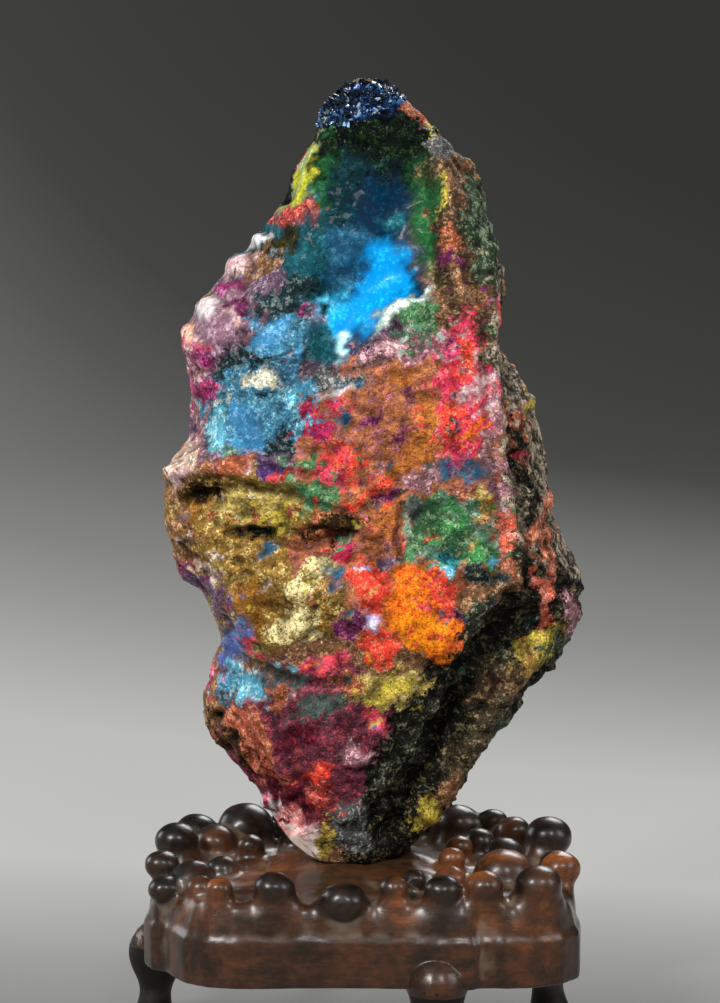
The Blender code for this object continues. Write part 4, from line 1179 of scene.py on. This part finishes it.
def inside_outline(x, y):
    """How far each point lies inside the apron's outline, in millimetres; less than 0 outside."""
    corners = np.array(APRON, float)
    nearest = np.full(x.shape, FAR)
    inside = np.zeros(x.shape, bool)
    for start, end in zip(corners, np.roll(corners, -1, axis=0)):
        nearest = np.minimum(nearest, line_distance(x, y, start, end))
        run_x, run_y = end - start
        if run_y:
            crosses = ((start[1] > y) != (end[1] > y)) & (x < (y - start[1]) / run_y * run_x + start[0])
            inside ^= crosses
    return np.where(inside, nearest, -nearest)


def carved_height(x, y):
    """Height of the carved top: deck, socket mound, roots of the knobs and skirt, which flow together."""
    radius = np.hypot(x / MOUND_REACH[0], y / MOUND_REACH[1])
    deck = DECK_TOP - 1.0 + (SOCKET_TOP - DECK_TOP + 0.4) * smoothstep(1.12, 0.1, radius)
    flat = np.column_stack((x.ravel(), y.ravel(), np.zeros(x.size)))
    swell = noise_field(flat, 7.0, 21, 2).reshape(x.shape)
    depth = inside_outline(x, y) - BAND_STEP
    slope = 1 - (1 - np.clip(depth / SKIRT_RUN, 0, 1)) ** SKIRT_POWER
    ground = APRON_TOP - 0.2 + (deck + swell * 0.8 - APRON_TOP + 0.2) * (0.10 + 0.90 * slope)
    total = np.exp(FLOW * (ground - DECK_TOP))
    for knob_x, knob_y, top, knob_radius in KNOBS:
        away = np.hypot(x - knob_x, y - knob_y) / knob_radius
        rise = top - knob_radius * ROOT_DROP - ROOT_BOTTOM
        root = ROOT_BOTTOM + rise * np.exp(-((away / ROOT_SPREAD) ** ROOT_STEEPNESS))
        total += np.exp(FLOW * (root - DECK_TOP)) * (away < ROOT_END)
    surface = DECK_TOP + np.log(total) / FLOW
    wall = np.clip(depth / WALL_RUN, 0, 1)
    rounded = np.sqrt(np.clip(1 - (1 - wall) ** 2, 0, 1))
    return np.where(depth > 0, APRON_TOP - 0.3 + (surface - APRON_TOP + 0.3) * rounded, APRON_TOP - 1.2)


def add_carving(step):
    """The carved top as one block that stands in the apron."""
    x, y = np.meshgrid(*(np.arange(-reach, reach, step) for reach in CARVING_REACH))
    z = carved_height(x, y)
    kept = inside_outline(x, y) > 0.45
    index = np.arange(x.size).reshape(x.shape)
    cells = kept[:-1, :-1] & kept[1:, :-1] & kept[:-1, 1:] & kept[1:, 1:]
    rows, columns = np.nonzero(cells)
    corners = (index[:-1, :-1], index[:-1, 1:], index[1:, 1:], index[1:, :-1])
    faces = np.column_stack([grid[rows, columns] for grid in corners]).tolist()
    places = (np.column_stack((x.ravel(), y.ravel(), z.ravel())) + OFFSET) * MM
    mesh = bpy.data.meshes.new("carving")
    mesh.from_pydata(places.tolist(), [], faces)
    carving = add_object("carving", mesh)
    edit_whole(carving, bpy.ops.mesh.delete_loose, lambda: extrude((0, 0, -1.0)))
    floor = (APRON_BOTTOM + 1.0) * MM
    for vert in carving.data.vertices:
        if vert.co.z < 0:
            vert.co.z = floor
    edit_whole(carving, face_outwards)
    return carving


def add_balls():
    """The heads of the carved knobs, a little flattened, each leaning out towards the nearest edge."""
    balls = []
    for x, y, top, radius in KNOBS:
        out = Vector((x / APRON_REACH[0], y / APRON_REACH[1]))
        lean = HEAD_LEAN * min(out.length, 1.0) ** 3
        high = radius * HEAD_FLATNESS
        place = np.array((x, y, top + HEAD_LIFT - high)) + np.array((*(out.normalized() * lean), 0.0))
        clear_selection()
        bpy.ops.mesh.primitive_uv_sphere_add(
            segments=28, ring_count=18, radius=radius * MM, location=tuple((place + OFFSET) * MM),
            scale=(1.0, 1.0, high / radius),
        )
        balls.append(bpy.context.object)
    return balls


def mark_warmth(obj, base):
    """Keeps how orange the wood is at each point. The heads of the knobs are darker than the rest."""
    points = read_points(obj)
    warm = np.full(len(points), base)
    for x, y, top, radius in KNOBS:
        reach = np.hypot(points[:, 0] - x, points[:, 1] - y) / radius
        headed = smoothstep(top - radius * 1.5, top - radius * 0.7, points[:, 2])
        warm -= HEAD_DARKNESS * headed * (1 - smoothstep(0.8, 1.25, reach))
    for x, y, radius, strength in WARM_AND_LIT_WOOD:
        reach = np.hypot(points[:, 0] - x, points[:, 1] - y) / radius
        warm += np.maximum(strength - warm, 0) * (1 - smoothstep(0.5, 1.5, reach))
    store(obj, "warm", warm)


def drawn_in(outline, distance):
    """The outline drawn in towards the middle of the stand."""
    return [tuple(Vector(p) - Vector(p).normalized() * distance) for p in outline]


def keep_clear(obj, others, gap):
    """Pushes the points of a piece out of its neighbours, to a gap from their skin."""
    points = read_points(obj)
    for other in others:
        corners = [vert.co.copy() for vert in other.data.vertices]
        tree = BVHTree.FromPolygons(corners, [tuple(face.vertices) for face in other.data.polygons])
        low = np.array([min(values) for values in zip(*corners)]) / MM - OFFSET
        high = np.array([max(values) for values in zip(*corners)]) / MM - OFFSET
        near = np.flatnonzero(np.all((points > low - 1) & (points < high + 1), axis=1))
        for index in near:
            place = Vector((points[index] + OFFSET) * MM)
            nearest, normal, _, _ = tree.find_nearest(place)
            depth = (place - nearest).dot(normal)
            if depth < gap:
                points[index] = np.array(nearest + normal * gap) / MM - OFFSET
    write_points(obj, points)


class AGATE_OT_feet(bpy.types.Operator):
    """Turns the four cabriole feet"""

    bl_idname = "agate.feet"
    bl_label = "Feet"

    def execute(self, context):
        for name, (x, y, turn) in FEET.items():
            height, step, depth, width = FOOT_STATIONS[0]
            clear_selection()
            bpy.ops.mesh.primitive_circle_add(vertices=28, radius=1.0, fill_type="NGON", location=(0, 0, 0))
            foot = context.object
            foot.name = f"{name}_wood"
            bpy.ops.object.mode_set(mode="EDIT")
            bpy.ops.mesh.select_all(action="SELECT")
            bpy.ops.transform.resize(value=(depth * MM, width * MM, 1.0))
            for station in FOOT_STATIONS[1:]:
                rise = (station[0] - height) * MM
                shift = (station[1] - step) * MM
                extrude((shift, 0, rise))
                bpy.ops.transform.resize(value=(station[2] / depth, station[3] / width, 1.0))
                height, step, depth, width = station
            bpy.ops.mesh.select_all(action="SELECT")
            face_outwards()
            bpy.ops.object.mode_set(mode="OBJECT")
            apply(foot, "SUBSURF", levels=2, render_levels=2)
            first = FOOT_STATIONS[0][1] * MM
            foot.location = ((x + OFFSET[0]) * MM, (y + OFFSET[1]) * MM, 0)
            foot.rotation_euler = (0, 0, turn)
            activate(foot)
            bpy.ops.object.transform_apply(location=True, rotation=True, scale=True)
            push = np.array((math.cos(turn), math.sin(turn), 0.0)) * first / MM
            write_points(foot, read_points(foot) + push)
            mark_curvature(foot, 3, 0.2)
            mark_warmth(foot, FOOT_WARMTH)
            foot.data.materials.append(bpy.data.materials["waxed_rosewood"])
            settle(foot)
            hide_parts(name)
        return {"FINISHED"}


class AGATE_OT_stand(bpy.types.Operator):
    """Carves the stand: apron, skirt, knobs, deck and socket in one block"""

    bl_idname = "agate.stand"
    bl_label = "Stand"

    def execute(self, context):
        sizes = context.scene.stand_sizes
        rosewood_finish()
        clear_selection()
        forms = [
            add_slab(APRON, APRON_BOTTOM, APRON_TOP - BAND_STEP),
            add_slab(drawn_in(APRON, BAND_STEP), APRON_BOTTOM, APRON_TOP),
            add_carving(sizes.skin / MM),
            *add_balls(),
        ]
        clear_selection()
        for form in forms:
            form.select_set(True)
        stand = forms[0]
        context.view_layer.objects.active = stand
        bpy.ops.object.join()
        stand.name = "stand_wood"
        bpy.ops.object.transform_apply(location=True, rotation=True, scale=True)
        apply(stand, "REMESH", mode="VOXEL", voxel_size=sizes.skin)
        apply(stand, "SMOOTH", factor=0.5, iterations=sizes.softening)
        points, normals = read_points(stand), read_normals(stand)
        carved = noise_field(points, 5.0, 11, 2) * 0.16
        carved *= smoothstep(APRON_BOTTOM, APRON_TOP + 2, points[:, 2])
        points += normals * carved[:, None]
        points[:, 2] = np.maximum(points[:, 2], APRON_BOTTOM)
        write_points(stand, points)
        mark_curvature(stand, 24, 0.55)
        mark_warmth(stand, STAND_WARMTH)
        neighbours = [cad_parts["agate"]] + [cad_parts[name] for name in FEET]
        keep_clear(stand, neighbours, sizes.gap)
        stand.data.materials.append(bpy.data.materials["waxed_rosewood"])
        settle(stand)
        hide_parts("stand")
        return {"FINISHED"}


def add_light(name, place, target, power, size, colour):
    light = bpy.data.lights.new(name, "AREA")
    light.energy = power
    light.size = size
    light.color = colour
    lamp = add_object(name, light)
    lamp.location = place
    lamp.rotation_euler = (Vector(target) - Vector(place)).to_track_quat("-Z", "Y").to_euler()
    return lamp


class AGATE_OT_stage(bpy.types.Operator):
    """Sets the backdrop with its painted fall-off of light, the studio lights and the camera"""

    bl_idname = "agate.stage"
    bl_label = "Stage"

    def execute(self, context):
        look = context.scene.stage_look
        scene = context.scene
        clear_selection()
        bpy.ops.mesh.primitive_plane_add(size=1.0, location=(0, -0.8, 0))
        sweep = context.object
        sweep.name = "backdrop"
        sweep.scale = (9.0, 4.8, 1.0)
        bpy.ops.object.transform_apply(location=True, rotation=True, scale=True)
        bpy.ops.object.mode_set(mode="EDIT")
        bm = bmesh.from_edit_mesh(sweep.data)
        for edge in bm.edges:
            edge.select = all(v.co.y > 1.5 for v in edge.verts)
        for vert in bm.verts:
            vert.select = vert.co.y > 1.5
        bm.select_flush_mode()
        bmesh.update_edit_mesh(sweep.data)
        bpy.ops.mesh.extrude_edges_move(TRANSFORM_OT_translate={"value": (0, 0, 3.0)})
        bpy.ops.object.mode_set(mode="OBJECT")
        bevel = sweep.modifiers.new("sweep", "BEVEL")
        bevel.width = 0.6
        bevel.segments = 16
        bevel.limit_method = "ANGLE"
        bpy.ops.object.modifier_apply(modifier="sweep")
        bpy.ops.object.shade_smooth()
        sweep.data.materials.append(backdrop_finish())
        middle = (0, 0, 0.10)
        add_light("key_light", (-0.55, -0.75, 0.75), middle, look.key, 0.22, (1.0, 0.98, 0.95))
        add_light("second_light", (0.25, -0.85, 0.80), middle, look.fill, 0.16, (0.98, 0.99, 1.0))
        add_light("side_light", (0.85, -0.35, 0.55), middle, look.fill * 0.8, 0.4, (1.0, 0.99, 0.97))
        add_light("edge_light", (-0.75, 0.35, 0.35), middle, look.fill * 0.6, 0.35, (0.95, 0.98, 1.0))
        add_light("back_light", (0.30, 0.85, 0.75), middle, look.fill * 1.8, 0.5, (1.0, 1.0, 1.0))
        world = bpy.data.worlds.new("room")
        world.use_nodes = True
        world.node_tree.nodes["Background"].inputs["Color"].default_value = (1.0, 0.99, 0.96, 1.0)
        world.node_tree.nodes["Background"].inputs["Strength"].default_value = look.room
        scene.world = world
        scene.view_settings.view_transform = "Standard"
        lens = bpy.data.cameras.new("camera")
        lens.sensor_width = 36.0
        lens.lens = FOCAL_PIXELS * lens.sensor_width / PHOTO_HEIGHT
        lens.clip_start = 0.05
        lens.clip_end = 20.0
        camera = add_object("camera", lens)
        target = Vector((np.array((0.0, 0.0, AIM_HEIGHT)) + OFFSET) * MM)
        back = Vector((0.0, -math.cos(SLOPE), math.sin(SLOPE)))
        camera.location = target + back * STAND_OFF * MM
        camera.rotation_euler = (-back).to_track_quat("-Z", "Y").to_euler()
        scene.camera = camera
        return {"FINISHED"}


class AGATE_PT_panel(bpy.types.Panel):
    """Lists the pieces and their sizes"""

    bl_idname = "AGATE_PT_panel"
    bl_label = "Agate on Stand"
    bl_space_type = "VIEW_3D"
    bl_region_type = "UI"
    bl_category = "Agate"

    def draw(self, context):
        for group in ("stone_sizes", "stand_sizes", "stage_look"):
            box = self.layout.box()
            values = getattr(context.scene, group)
            for name in values.bl_rna.properties.keys():
                if name not in ("rna_type", "name"):
                    box.prop(values, name)
        for operator in PIECES:
            self.layout.operator(operator)


PIECES = ("agate.stone", "agate.cap", "agate.stand", "agate.feet", "agate.stage")
GROUPS = {"stone_sizes": StoneSizes, "stand_sizes": StandSizes, "stage_look": StageLook}
CLASSES = (
    StoneSizes, StandSizes, StageLook, AGATE_OT_stone, AGATE_OT_cap, AGATE_OT_stand, AGATE_OT_feet,
    AGATE_OT_stage, AGATE_PT_panel,
)


def register():
    for item in CLASSES:
        bpy.utils.register_class(item)
    for name, group in GROUPS.items():
        setattr(bpy.types.Scene, name, bpy.props.PointerProperty(type=group))


def unregister():
    for name in GROUPS:
        delattr(bpy.types.Scene, name)
    for item in reversed(CLASSES):
        bpy.utils.unregister_class(item)


def main():
    register()
    for piece in PIECES:
        group, action = piece.split(".")
        getattr(getattr(bpy.ops, group), action)()


if __name__ == "__main__":
    main()
